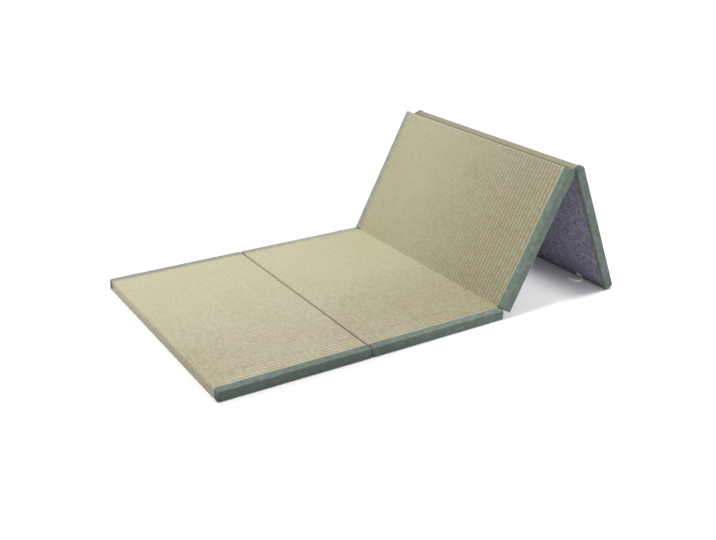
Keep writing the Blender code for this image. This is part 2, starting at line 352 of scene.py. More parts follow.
# ---- Surfaces ------------------------------------------------------------------------------
@dataclass
class Surface:
    """Points and faces on their way into a mesh, with a cloth coordinate at each corner."""

    points: Array
    corners: Array
    sizes: Array
    uv: Array
    fields: dict[str, Array] = field(default_factory=dict)

    @classmethod
    def grid(cls, points: Array, uv: Array, fields: Mapping[str, Array] | None = None,
             turned: bool = False) -> "Surface":
        """Quads over a grid of points, facing the cross product of its rows and columns.

        Args:
            points: array of rows, columns and 3.
            uv: array of rows, columns and 2.
            fields: numbers at the points, by name.
            turned: whether the faces look the other way.

        Returns:
            The patch.
        """
        rows, columns = points.shape[:2]
        index = np.arange(rows * columns).reshape(rows, columns)
        quads = np.stack([index[:-1, :-1], index[1:, :-1], index[1:, 1:], index[:-1, 1:]], axis=-1)
        corners = (quads[..., ::-1] if turned else quads).reshape(-1)
        shape, fields = (rows, columns), fields or {}
        values = {name: np.broadcast_to(value, shape).reshape(-1) for name, value in fields.items()}
        sizes = np.full(len(corners) // 4, 4)
        return cls(points.reshape(-1, 3), corners, sizes, uv.reshape(-1, 2)[corners], values)

    @classmethod
    def join(cls, parts: Sequence["Surface"]) -> "Surface":
        """One surface of several, which share their fields."""
        counts = [len(part.points) for part in parts]
        offsets = np.concatenate([[0], np.cumsum(counts)[:-1]])
        return cls(
            np.concatenate([part.points for part in parts]),
            np.concatenate([part.corners + offset for part, offset in zip(parts, offsets)]),
            np.concatenate([part.sizes for part in parts]),
            np.concatenate([part.uv for part in parts]),
            {name: np.concatenate([part.fields[name] for part in parts]) for name in parts[0].fields},
        )

    def welded(self) -> "Surface":
        """The same surface with the points that coincide made one."""
        keys = np.round(self.points / WELD_DISTANCE).astype(np.int64)
        _, first, inverse = np.unique(keys, axis=0, return_index=True, return_inverse=True)
        fields = {name: values[first] for name, values in self.fields.items()}
        return Surface(self.points[first], inverse.reshape(-1)[self.corners], self.sizes, self.uv, fields)

    def into_object(self, name: str, material: bpy.types.Material,
                    recalculate: bool = False) -> bpy.types.Object:
        """Makes a smooth-shaded mesh object of the surface.

        Args:
            name: the object's name.
            material: its material.
            recalculate: whether a closed surface's faces are turned outwards here.

        Returns:
            The object, at the origin.
        """
        mesh = bpy.data.meshes.new(name)
        mesh.vertices.add(len(self.points))
        mesh.vertices.foreach_set("co", self.points.astype(np.float32).ravel())
        mesh.loops.add(len(self.corners))
        mesh.loops.foreach_set("vertex_index", self.corners.astype(np.int32))
        mesh.polygons.add(len(self.sizes))
        mesh.polygons.foreach_set("loop_start", (np.cumsum(self.sizes) - self.sizes).astype(np.int32))
        mesh.update(calc_edges=True)
        layer = mesh.uv_layers.new(name=CLOTH_MAP)
        layer.uv.foreach_set("vector", self.uv.astype(np.float32).ravel())
        for key, values in self.fields.items():
            attribute = mesh.attributes.new(key, "FLOAT", "POINT")
            attribute.data.foreach_set("value", values.astype(np.float32))
        if recalculate:
            face_outwards(mesh)
        mesh.validate()
        mesh.materials.append(material)
        mesh.shade_smooth()
        item = bpy.data.objects.new(name, mesh)
        bpy.context.scene.collection.objects.link(item)
        return item


def face_outwards(mesh: bpy.types.Mesh) -> None:
    """Turns the faces of a closed mesh outwards."""
    bm = bmesh.new()
    bm.from_mesh(mesh)
    bmesh.ops.recalc_face_normals(bm, faces=bm.faces[:])
    bm.to_mesh(mesh)
    bm.free()


@dataclass(frozen=True)
class RoundedBox:
    """A box with rounded edges, open-ended where a bound is infinite."""

    low: tuple[float, float, float]
    high: tuple[float, float, float]
    radius: float

    def wrap(self, points: Array) -> tuple[Array, Array]:
        """Moves points of the sharp box's skin onto the rounded one.

        Each goes to one radius from the nearest point of the box drawn in by the radius, on
        the line that joins the two.

        Args:
            points: points on the sharp skin.

        Returns:
            The points on the rounded skin and the outward directions there.
        """
        low = np.asarray(self.low) + self.radius
        high = np.asarray(self.high) - self.radius
        nearest = np.clip(points, low, high)
        away = points - nearest
        normal = away / np.linalg.norm(away, axis=-1, keepdims=True)
        return nearest + self.radius * normal, normal


# ---- Sheets over a section -----------------------------------------------------------------
@dataclass(frozen=True)
class Section:
    """A sheet's outer face seen from the side."""

    points: Array                   # (n, 2), x and z
    normals: Array                  # (n, 2), outwards
    from_end: Array                 # (n,), distance from the nearer end of the panel

    @property
    def distance(self) -> Array:
        """Distance along the sheet at each station."""
        steps = np.linalg.norm(np.diff(self.points, axis=0), axis=1)
        return np.concatenate([[0.0], np.cumsum(steps)])

    def picks(self, longest: float, sharpest: float) -> Array:
        """Indices of a few stations that still follow the section.

        Args:
            longest: greatest distance between them.
            sharpest: greatest turn between them, in radians.

        Returns:
            Indices in rising order, the first and last station among them.
        """
        angle = np.unwrap(np.arctan2(self.normals[:, 1], self.normals[:, 0]))
        turned = np.concatenate([[0.0], np.cumsum(np.abs(np.diff(angle)))])
        travelled = self.distance / longest + turned / sharpest
        kept = np.flatnonzero(np.diff(np.floor(travelled), prepend=-1) > 0)
        return np.unique(np.concatenate([kept, [len(self.points) - 1]]))


class SectionPath:
    """Collects the stretches of a section, one after another."""

    def __init__(self) -> None:
        """Starts with no stretch."""
        self._points: list[Array] = []
        self._normals: list[Array] = []
        self._from_end: list[Array] = []

    def add(self, panel: Panel, uw: Array, normals: Array) -> None:
        """Adds stations given in a panel's coordinates.

        Args:
            panel: the panel.
            uw: stations (n, 2).
            normals: outward directions (n, 2), or one for all of them.
        """
        self._points.append(panel.section(uw))
        self._normals.append(np.broadcast_to(normals, np.shape(uw)) @ panel.rotation)
        self._from_end.append(np.minimum(uw[:, 0], panel.length - uw[:, 0]))

    def straight(self, panel: Panel, first: tuple[float, float], last: tuple[float, float],
                 normal: tuple[float, float], step: float) -> None:
        """Adds a straight stretch between two places in a panel's coordinates."""
        count = max(1, math.ceil(math.dist(first, last) / step))
        self.add(panel, np.linspace(first, last, count + 1), np.array(normal))

    def section(self) -> Section:
        """The whole section, each station once."""
        points = np.concatenate(self._points)
        apart = np.linalg.norm(np.diff(points, axis=0), axis=1) > WELD_DISTANCE
        kept = np.concatenate([[True], apart])
        normals, from_end = np.concatenate(self._normals), np.concatenate(self._from_end)
        return Section(points[kept], normals[kept], from_end[kept])


@dataclass(frozen=True)
class ClosedSheet:
    """A closed sheet over a section: a fine outer face, a coarse inner one and a rim."""

    section: Section
    across: Array                   # (columns,), places across the mat
    outer: Array                    # (rows, columns), height of the outer face
    inner: Array                    # (rows, columns), height of the inner face
    shift: Array                    # (rows, columns), sideways shift of the weave
    fields: dict[str, Array] = field(default_factory=dict)

    def _points(self, height: Array, rows: Array, columns: Array) -> Array:
        """Points at some heights above the section."""
        grid = np.ix_(rows, columns)
        points, normals = self.section.points[rows], self.section.normals[rows]
        line = points[:, None, :] + normals[:, None, :] * height[grid][..., None]
        y = self.across[columns] + self.shift[grid]
        return np.stack([line[..., 0], y, line[..., 1]], axis=-1)

    def surface(self, column_pick: int) -> Surface:
        """The sheet's surface.

        Args:
            column_pick: how many columns apart the inner face's are.

        Returns:
            The closed surface, its faces not yet turned outwards.
        """
        rows = np.arange(len(self.section.points))
        columns = np.arange(len(self.across))
        some_rows = self.section.picks(LINING_STEP, LINING_TURN)
        some_columns = np.unique(np.concatenate([columns[::column_pick], columns[-1:]]))
        uv = np.stack(np.broadcast_arrays(self.section.distance[:, None], self.across[None, :]), axis=-1)
        face = Surface.grid(self._points(self.outer, rows, columns), uv, self.fields)
        some = np.ix_(some_rows, some_columns)
        shape = self.outer.shape
        fields = {name: np.broadcast_to(values, shape)[some] for name, values in self.fields.items()}
        inner = self._points(self.inner, some_rows, some_columns)
        lining = Surface.grid(inner, uv[some], fields, turned=True)
        sheet = Surface.join([face, lining])
        rims = self._rims(rows, columns, some_rows, some_columns)
        points_uv = np.concatenate([uv.reshape(-1, 2), uv[some].reshape(-1, 2)])
        corners = np.concatenate(rims)
        return Surface(
            sheet.points,
            np.concatenate([sheet.corners, corners]),
            np.concatenate([sheet.sizes, [len(rim) for rim in rims]]),
            np.concatenate([sheet.uv, points_uv[corners]]),
            sheet.fields,
        )

    @staticmethod
    def _rims(rows: Array, columns: Array, some_rows: Array, some_columns: Array) -> list[Array]:
        """Faces that join the two faces' edges, each from one picked station to the next."""
        fine = np.arange(len(rows) * len(columns)).reshape(len(rows), len(columns))
        coarse = np.arange(len(some_rows) * len(some_columns)).reshape(len(some_rows), len(some_columns))
        coarse = coarse + fine.size
        edges = [
            (fine[:, 0], coarse[:, 0], some_rows, 1),
            (fine[:, -1], coarse[:, -1], some_rows, -1),
            (fine[0, :], coarse[0, :], some_columns, -1),
            (fine[-1, :], coarse[-1, :], some_columns, 1),
        ]
        rims = []
        for line, inner, picks, way in edges:
            for place, (first, last) in enumerate(zip(picks[:-1], picks[1:])):
                rim = np.concatenate([line[first:last + 1], [inner[place + 1], inner[place]]])
                rims.append(rim[::way])
        return rims


# ---- Shader graphs -------------------------------------------------------------------------
Number = Union["Value", float]


def _operator(operation: str, reflected: bool = False) -> Callable[["Value", Number], "Value"]:
    """An arithmetic method of Value.

    Args:
        operation: the Math node's operation.
        reflected: whether the value comes second, as in 1 - value.

    Returns:
        The method.
    """

    def method(self: "Value", other: Number) -> "Value":
        """The result of the operation."""
        return self.math(operation, *((other, self) if reflected else (self, other)))

    return method


class Value:
    """A number socket that arithmetic works on, so that a formula reads as one."""

    def __init__(self, graph: "Graph", socket: bpy.types.NodeSocket) -> None:
        """Wraps a socket of a graph."""
        self.graph = graph
        self.socket = socket

    def math(self, operation: str, *terms: Number) -> "Value":
        """Adds a Math node."""
        node = self.graph.add("ShaderNodeMath", {"operation": operation}, dict(enumerate(terms)))
        return Value(self.graph, node.outputs[0])

    __add__, __radd__ = _operator("ADD"), _operator("ADD", reflected=True)
    __sub__, __rsub__ = _operator("SUBTRACT"), _operator("SUBTRACT", reflected=True)
    __mul__, __rmul__ = _operator("MULTIPLY"), _operator("MULTIPLY", reflected=True)
    __truediv__, __rtruediv__ = _operator("DIVIDE"), _operator("DIVIDE", reflected=True)

    def __abs__(self) -> "Value":
        """The distance from 0."""
        return self.math("ABSOLUTE", self)

    def floor(self) -> "Value":
        """The whole part."""
        return self.math("FLOOR", self)

    def sine(self) -> "Value":
        """The sine of an angle in radians."""
        return self.math("SINE", self)

    def ramp(self, low: float, high: float) -> "Value":
        """Smooth step from 0 at low to 1 at high."""
        settings = {"interpolation_type": "SMOOTHSTEP"}
        node = self.graph.add("ShaderNodeMapRange", settings, {0: self, 1: low, 2: high, 3: 0.0, 4: 1.0})
        return Value(self.graph, node.outputs[0])


Paint = Union[Colour, bpy.types.NodeSocket]


class Graph:
    """A material on its way, with one method that adds any node."""

    def __init__(self, name: str) -> None:
        """Makes an empty material."""
        self.material = bpy.data.materials.new(name)
        self.material.use_nodes = True
        self.tree = self.material.node_tree
        self.tree.nodes.clear()

    def add(self, kind: str, settings: Mapping[str, object],
            inputs: Mapping[Union[str, int], object]) -> bpy.types.Node:
        """Adds a node.

        Args:
            kind: the node's type.
            settings: its properties, which are set first.
            inputs: values or links of its sockets, by name or index.

        Returns:
            The node.
        """
        node = self.tree.nodes.new(kind)
        for key, value in settings.items():
            setattr(node, key, value)
        for key, value in inputs.items():
            source = value.socket if isinstance(value, Value) else value
            if isinstance(source, bpy.types.NodeSocket):
                self.tree.links.new(source, node.inputs[key])
            else:
                node.inputs[key].default_value = source
        return node

    def place(self) -> bpy.types.NodeSocket:
        """The point in the frame."""
        return self.add("ShaderNodeTexCoord", {}, {}).outputs["Object"]

    def cloth(self) -> tuple[Value, Value]:
        """Metres along the cloth and across it."""
        uv = self.add("ShaderNodeUVMap", {"uv_map": CLOTH_MAP}, {}).outputs[0]
        return self.split(uv)[:2]

    def split(self, vector: bpy.types.NodeSocket) -> tuple[Value, Value, Value]:
        """The three parts of a vector."""
        parts = self.add("ShaderNodeSeparateXYZ", {}, {0: vector}).outputs
        return Value(self, parts[0]), Value(self, parts[1]), Value(self, parts[2])

    def vector(self, x: Number, y: Number, z: Number = 0.0) -> bpy.types.NodeSocket:
        """A vector of three numbers."""
        return self.add("ShaderNodeCombineXYZ", {}, {0: x, 1: y, 2: z}).outputs[0]

    def attribute(self, name: str) -> Value:
        """A number held at the points of the mesh."""
        return Value(self, self.add("ShaderNodeAttribute", {"attribute_name": name}, {}).outputs["Fac"])

    def noise(self, vector: bpy.types.NodeSocket, scale: float, detail: float = 2.0,
              roughness: float = 0.5, distortion: float = 0.0) -> Value:
        """Soft noise between 0 and 1."""
        inputs = {"Vector": vector, "Scale": scale, "Detail": detail}
        inputs |= {"Roughness": roughness, "Distortion": distortion}
        return Value(self, self.add("ShaderNodeTexNoise", {}, inputs).outputs[0])

    def chance(self, x: Number, y: Number, z: Number = 0.0) -> Value:
        """A random number between 0 and 1 for each whole x, y and z."""
        settings, inputs = {"noise_dimensions": "3D"}, {"Vector": self.vector(x, y, z)}
        return Value(self, self.add("ShaderNodeTexWhiteNoise", settings, inputs).outputs[0])

    def mix(self, share: Number, first: Paint, second: Paint) -> bpy.types.NodeSocket:
        """A colour between two."""
        settings = {"data_type": "RGBA", "blend_type": "MIX"}
        return self.add("ShaderNodeMix", settings, {0: share, 6: first, 7: second}).outputs[2]

    def bump(self, height: Value, strength: float = 1.0) -> bpy.types.NodeSocket:
        """Normals of a relief whose height is in metres."""
        inputs = {"Strength": strength, "Distance": 1.0, "Height": height}
        return self.add("ShaderNodeBump", {}, inputs).outputs[0]

    def finish(self, colour: Paint, roughness: Number, normal: bpy.types.NodeSocket,
               constants: Mapping[str, float]) -> bpy.types.Material:
        """Closes the graph with a Principled shader.

        Args:
            colour: base colour.
            roughness: roughness.
            normal: normals.
            constants: sockets that are the same all over, by name.

        Returns:
            The material.
        """
        inputs = {"Base Color": colour, "Roughness": roughness, "Normal": normal, **constants}
        shader = self.add("ShaderNodeBsdfPrincipled", {}, inputs)
        self.add("ShaderNodeOutputMaterial", {}, {"Surface": shader.outputs[0]})
        return self.material


def paint(red: int, green: int, blue: int) -> Colour:
    """A linear colour from three display values between 0 and 255."""
    display = np.array([red, green, blue]) / 255
    linear = np.where(display <= 0.04045, display / 12.92, ((display + 0.055) / 1.055) ** 2.4)
    return (*(float(part) for part in linear), 1.0)


# ---- Finishes ------------------------------------------------------------------------------
@dataclass(frozen=True)
class RushFinish:
    """Woven rush: round stems laid side by side, drawn into ribs by the warp."""

    rib_pitch: float = SIZES.rib_pitch
    stem_pitch: float = 0.0015
    straw: Colour = paint(203, 198, 171)
    green: Colour = paint(194, 191, 156)
    # pale colour of the painted highlight on the bead crests
    light: Colour = paint(228, 222, 198)
    tan: Colour = paint(188, 166, 132)
    rose: Colour = paint(206, 182, 162)
    # colour of the painted shade on the turned-down ends
    dull: Colour = paint(150, 142, 124)
    shadow: Colour = paint(96, 86, 58)

    def make(self) -> bpy.types.Material:
        """Makes the material."""
        graph = Graph("woven_rush")
        along, across = graph.cloth()
        rib = across / self.rib_pitch
        rib_number = rib.floor()
        valley = abs(rib - rib_number - 0.5) * 2.0
        groove = valley.ramp(0.45, 1.0)
        stem = along / self.stem_pitch + rib_number * 0.37 + valley * 0.4
        stem_number = stem.floor()
        flank = abs(stem - stem_number - 0.5) * 2.0
        stem_chance = graph.chance(stem_number, rib_number)
        rib_chance = graph.chance(rib_number, 3.0)
        bead = graph.noise(graph.vector(along * 95.0, rib_number * 7.3), 1.0, 0.0)
        bundle = graph.noise(graph.vector(along * 30.0, rib_number * 5.1), 1.0, 1.0)
        length, side, _ = graph.split(graph.place())
        patch = graph.noise(graph.place(), 2.6, 2.0)
        cloud = graph.noise(graph.place(), 9.0, 2.0)
        last = length.ramp(0.50, 0.52)
        near = side.ramp(0.42, -0.40) * (1.0 - last) + 0.45 * last
        hem = graph.attribute("hem")

        green = patch.ramp(0.36, 0.60) * 0.55 + length.ramp(-0.35, 0.45) * 0.45
        ground = graph.mix(green, self.straw, self.green)
        sunned = near.ramp(0.62, 1.0) * rib_chance.ramp(0.35, 0.8)
        sunned = sunned * bundle.ramp(0.40, 0.56) * cloud.ramp(0.36, 0.56)
        ground = graph.mix(sunned * 0.7, ground, self.rose)
        ground = graph.mix(stem_chance.ramp(0.70, 1.0) * 0.40, ground, self.tan)
        # painted highlight on the bead crests, stronger towards the front edge
        bead_crest_highlight = bead.ramp(0.50, 0.66) * (0.10 + 0.16 * near) * (1.0 - groove)
        ground = graph.mix(bead_crest_highlight, ground, self.light)
        # painted shade on the turned-down ends
        ground = graph.mix(hem, ground, self.dull)
        upper = length.ramp(0.22, 0.29)
        middle = length.ramp(-0.30, -0.20) * (1.0 - upper)
        shade = (
            groove * (0.03 + (0.15 + 0.18 * upper - 0.08 * middle) * near * near) * (0.75 + 0.5 * bead)
            + near * near * (0.02 - 0.02 * upper + 0.065 * middle)
            + bead.ramp(0.50, 0.34) * (0.02 + 0.07 * near)
            + flank.ramp(0.7, 1.0) * 0.12
            + near * 0.20
            + length.ramp(-0.45, 0.15) * 0.06
        )
        colour = graph.mix(shade, ground, self.shadow)

        fibre = graph.noise(graph.vector(along * 2500.0, across * 160.0), 1.0, 2.0)
        relief = (1.0 - flank * flank) * 0.00022 + fibre * 0.00005
        roughness = 0.52 + 0.2 * stem_chance
        return graph.finish(colour, roughness, graph.bump(relief, 0.8), {"Specular IOR Level": 0.35})


@dataclass(frozen=True)
class BindingFinish:
    """Close plain-woven cloth, paler along its folded edge, with painted highlight where it bends and
    painted shade on its sides, darkest near the floor, on its back, beside its wrapped ends and in the
    crease.
    """

    thread_pitch: float = 0.0008
    green: Colour = paint(97, 118, 106)
    blue: Colour = paint(100, 116, 113)
    grey: Colour = paint(166, 166, 155)
    pale: Colour = paint(214, 214, 190)
    dark: Colour = paint(40, 54, 50)

    def make(self) -> bpy.types.Material:
        """Makes the material."""
        graph = Graph("binding_weave")
        along, across = graph.cloth()
        warp = along / self.thread_pitch
        weft = across / self.thread_pitch
        warp_chance = graph.chance(warp.floor(), 1.0)
        weft_chance = graph.chance(weft.floor(), 2.0)
        _, side, _ = graph.split(graph.place())
        patch = graph.noise(graph.place(), 13.0, 3.0)
        cloud = graph.noise(graph.place(), 55.0, 3.0)
        slub = graph.noise(graph.vector(along * 90.0, across * 1300.0), 1.0, 1.0)
        wear = graph.attribute("wear")
        soil = graph.attribute("soil")

        ground = graph.mix(patch.ramp(0.41, 0.56), self.green, self.blue)
        ground = graph.mix(side.ramp(0.30, 0.43) * 0.85, ground, self.grey)
        ground = graph.mix(cloud.ramp(0.50, 0.36) * 0.22, ground, self.dark)
        light = (warp_chance + weft_chance + slub.ramp(0.5, 0.8)) * 0.08 + cloud.ramp(0.5, 0.7) * 0.12
        ground = graph.mix(light, ground, self.pale)
        # painted shade on the sides, backs, wrapped ends and crease, a little uneven with the blotches
        ground = graph.mix(soil * (0.85 + 0.3 * cloud), ground, self.dark)
        # paler along the folded edge, and painted highlight on the bends
        colour = graph.mix(wear, ground, self.pale)

        weave = (warp * math.tau).sine() * (weft * math.tau).sine()
        relief = weave * 0.00006 + slub * 0.00006
        roughness = 0.78 + 0.12 * cloud
        constants = {"Specular IOR Level": 0.25, "Sheen Weight": 0.15, "Sheen Roughness": 0.5}
        return graph.finish(colour, roughness, graph.bump(relief), constants)


@dataclass(frozen=True)
class FeltFinish:
    """Needled felt of mixed fibres, mottled purple-grey."""

    deep: Colour = paint(54, 52, 66)
    middle: Colour = paint(125, 119, 147)
    light: Colour = paint(195, 190, 216)
    grime: Colour = paint(34, 32, 38)

    def make(self) -> bpy.types.Material:
        """Makes the material."""
        graph = Graph("needled_felt")
        place = graph.place()
        length, _, height = graph.split(place)
        blot = graph.noise(place, 45.0, 3.0, 0.6)
        mottle = graph.noise(place, 105.0, 3.0, 0.62, 0.2)
        fleck = graph.noise(place, 420.0, 2.0, 0.6, 0.8)
        fibre = graph.noise(place, 1500.0, 3.0, 0.7, 2.5)
        mottled = mottle.ramp(0.42, 0.56) * 0.65 + blot.ramp(0.42, 0.58) * 0.35
        ground = graph.mix(mottled, self.deep, self.middle)
        ground = graph.mix(fleck.ramp(0.52, 0.70) * 0.8, ground, self.light)
        ground = graph.mix(fibre.ramp(0.6, 0.4) * 0.35, ground, self.deep)
        # painted shadow along the last panel's foot, where it meets the floor
        foot = height.ramp(0.030, 0.005) * length.ramp(0.56, 0.60)
        colour = graph.mix(foot * (0.55 + 0.4 * mottle), ground, self.grime)
        relief = mottle * 0.0006 + fleck * 0.00035 + fibre * 0.00015
        constants = {"Specular IOR Level": 0.15, "Sheen Weight": 0.3, "Sheen Roughness": 0.6}
        return graph.finish(colour, 0.9 + 0.08 * fibre, graph.bump(relief, 0.8), constants)


@dataclass(frozen=True)
class RibbonFinish:
    """Thin pale ribbon with fine ribs across it."""

    pale: Colour = paint(250, 250, 252)
    grey: Colour = paint(228, 228, 233)

    def make(self) -> bpy.types.Material:
        """Makes the material."""
        graph = Graph("pale_ribbon")
        along, across = graph.cloth()
        rib = (along * (math.tau / 0.0007)).sine()
        edge = abs(across - 0.0094).ramp(0.0083, 0.0091)
        cloud = graph.noise(graph.place(), 160.0, 2.0)
        colour = graph.mix(cloud.ramp(0.3, 0.7) * 0.5 + edge * 0.3, self.pale, self.grey)
        relief = rib * 0.00005 + edge * 0.00012
        return graph.finish(colour, 0.34 + 0.15 * cloud, graph.bump(relief), {"Specular IOR Level": 0.5})


@dataclass(frozen=True)
class ThreadFinish:
    """Sewing thread, twisted from two plies."""

    light: Colour = paint(150, 164, 150)
    dark: Colour = paint(96, 110, 100)

    def make(self) -> bpy.types.Material:
        """Makes the material."""
        graph = Graph("sewing_thread")
        along, across = graph.cloth()
        twist = ((along / 0.0011 + across / 0.0016) * math.tau).sine()
        colour = graph.mix(twist.ramp(-1.0, 1.0), self.dark, self.light)
        relief = graph.bump(twist * 0.00004)
        return graph.finish(colour, 0.62 + 0.1 * twist, relief, {"Specular IOR Level": 0.4})


@dataclass(frozen=True)
class Finishes:
    """The materials, one of each."""

    rush: bpy.types.Material
    binding: bpy.types.Material
    felt: bpy.types.Material
    ribbon: bpy.types.Material
    thread: bpy.types.Material

    @classmethod
    def make(cls) -> "Finishes":
        """Makes all of them."""
        return cls(
            RushFinish().make(), BindingFinish().make(), FeltFinish().make(), RibbonFinish().make(),
            ThreadFinish().make(),
        )


def report(piece: bpy.types.Object) -> bpy.types.Object:
    """Logs a finished piece with its count of faces, and returns it."""
    LOG.info("%s: %d vertices, %d faces", piece.name, len(piece.data.vertices), len(piece.data.polygons))
    return piece


def stand_for(piece: bpy.types.Object, node: str) -> None:
    """Lets a piece ride on the mat in the place of a CAD node."""
    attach(piece, BODY)
    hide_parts(node)


# ---- Felt bodies ---------------------------------------------------------------------------
@dataclass(frozen=True)
class FeltPad:
    """A panel's filled body: flat felt back, crowned rush side, rounded edges."""

    panel: Panel
    step: float = 0.0095
    unevenness: float = 0.0005
    lumps: tuple[float, float] = (0.022, 0.009)     # cells of the two noises behind it
    fill: float = 0.95

    def _insets(self) -> tuple[float, float]:
        """From each end of the panel to the felt."""
        inset = {End.WRAPPED: SIZES.face_inset + SIZES.rush + SIZES.gap, End.CREASED: SIZES.crease_inset}
        return inset[self.panel.start], inset[self.panel.end]

    def _recess(self, u: Array, y: Array) -> Array:
        """How far the back is pressed in under the hinge strip and the bindings' flaps."""
        step = SIZES.recess_step
        from_hinge = self.panel.length - u if self.panel.hinge_at_end else u
        hinge = smooth(from_hinge, SIZES.hinge_reach + 1.5 * step, SIZES.hinge_reach + 0.5 * step)
        inner = SIZES.half_width - SIZES.flap
        flap = smooth(np.abs(y), inner - 1.5 * step, inner - 0.5 * step)
        deep = SIZES.flap_lift + SIZES.gap
        return np.maximum((deep + SIZES.hinge_cloth) * hinge, (deep + SIZES.binding_cloth) * flap)

    def _shaped(self, points: Array, normals: Array) -> Array:
        """Adds the crown, the recesses and the felt's own unevenness.

        With the share of the height written as t, the lift is crown * t + recess * (1 - t),
        and the unevenness is noise along the outward direction, held in where w is small on
        a panel that lies on the floor.
        """
        u, y, w = points[..., 0], points[..., 1], points[..., 2]
        share = w / SIZES.pad_thickness
        from_end = np.minimum(u, self.panel.length - u)
        lift = SIZES.swell(from_end, y) * share + self._recess(u, y) * (1 - share)
        large, small = self.lumps
        rough = noise(u, y + 3 * w, large, 11 + self.panel.number) + 0.5 * noise(u, y + 3 * w, small, 31)
        inwards = -self.unevenness * (0.5 + 0.5 * rough / 1.5) * (1 - smooth(share, 0.8, 1.0))
        moved = points + normals * inwards[..., None]
        moved[..., 2] += lift
        return moved

    def _places(self) -> tuple[Array, Array, Array]:
        """Places along, across and up the body at which it has points."""
        first, last = self._insets()
        radius = SIZES.pad_rounding
        half = SIZES.half_width - SIZES.face_inset
        along = round_stations(self.panel.length - first - last, radius, self.step, (True, True)) + first
        across = round_stations(2 * half, radius, self.step, (True, True)) - half
        up = round_stations(SIZES.pad_thickness, radius, 0.005, (True, True))
        step = SIZES.recess_step
        hinge = SIZES.hinge_reach + step * np.array([0.5, 1.5])
        hinge = self.panel.length - hinge if self.panel.hinge_at_end else hinge
        flap = SIZES.half_width - SIZES.flap - step * np.array([0.5, 1.5])
        return np.union1d(along, hinge), np.union1d(across, np.concatenate([flap, -flap])), up

    def build(self, finishes: Finishes) -> bpy.types.Object:
        """Makes the body of six patches of a rounded box's skin."""
        along, across, up = self._places()
        box = RoundedBox((along[0], across[0], up[0]), (along[-1], across[-1], up[-1]), SIZES.pad_rounding)
        grids = [
            (np.meshgrid(along, across, up[:1], indexing="ij"), 2),
            (np.meshgrid(along, across, up[-1:], indexing="ij"), 2),
            (np.meshgrid(along, across[:1], up, indexing="ij"), 1),
            (np.meshgrid(along, across[-1:], up, indexing="ij"), 1),
            (np.meshgrid(along[:1], across, up, indexing="ij"), 0),
            (np.meshgrid(along[-1:], across, up, indexing="ij"), 0),
        ]
        patches = []
        for grid, flat_axis in grids:
            sharp = np.stack(grid, axis=-1).squeeze(axis=flat_axis)
            shaped = self._shaped(*box.wrap(sharp))
            placed = self.panel.place(shaped[..., 0], shaped[..., 1], shaped[..., 2])
            uv = np.delete(sharp, flat_axis, axis=-1)
            patches.append(Surface.grid(placed, uv))
        piece = Surface.join(patches).welded().into_object(
            f"felt_body_{self.panel.number}", finishes.felt, recalculate=True)
        stand_for(piece, f"pad_{self.panel.number}")
        return report(piece)


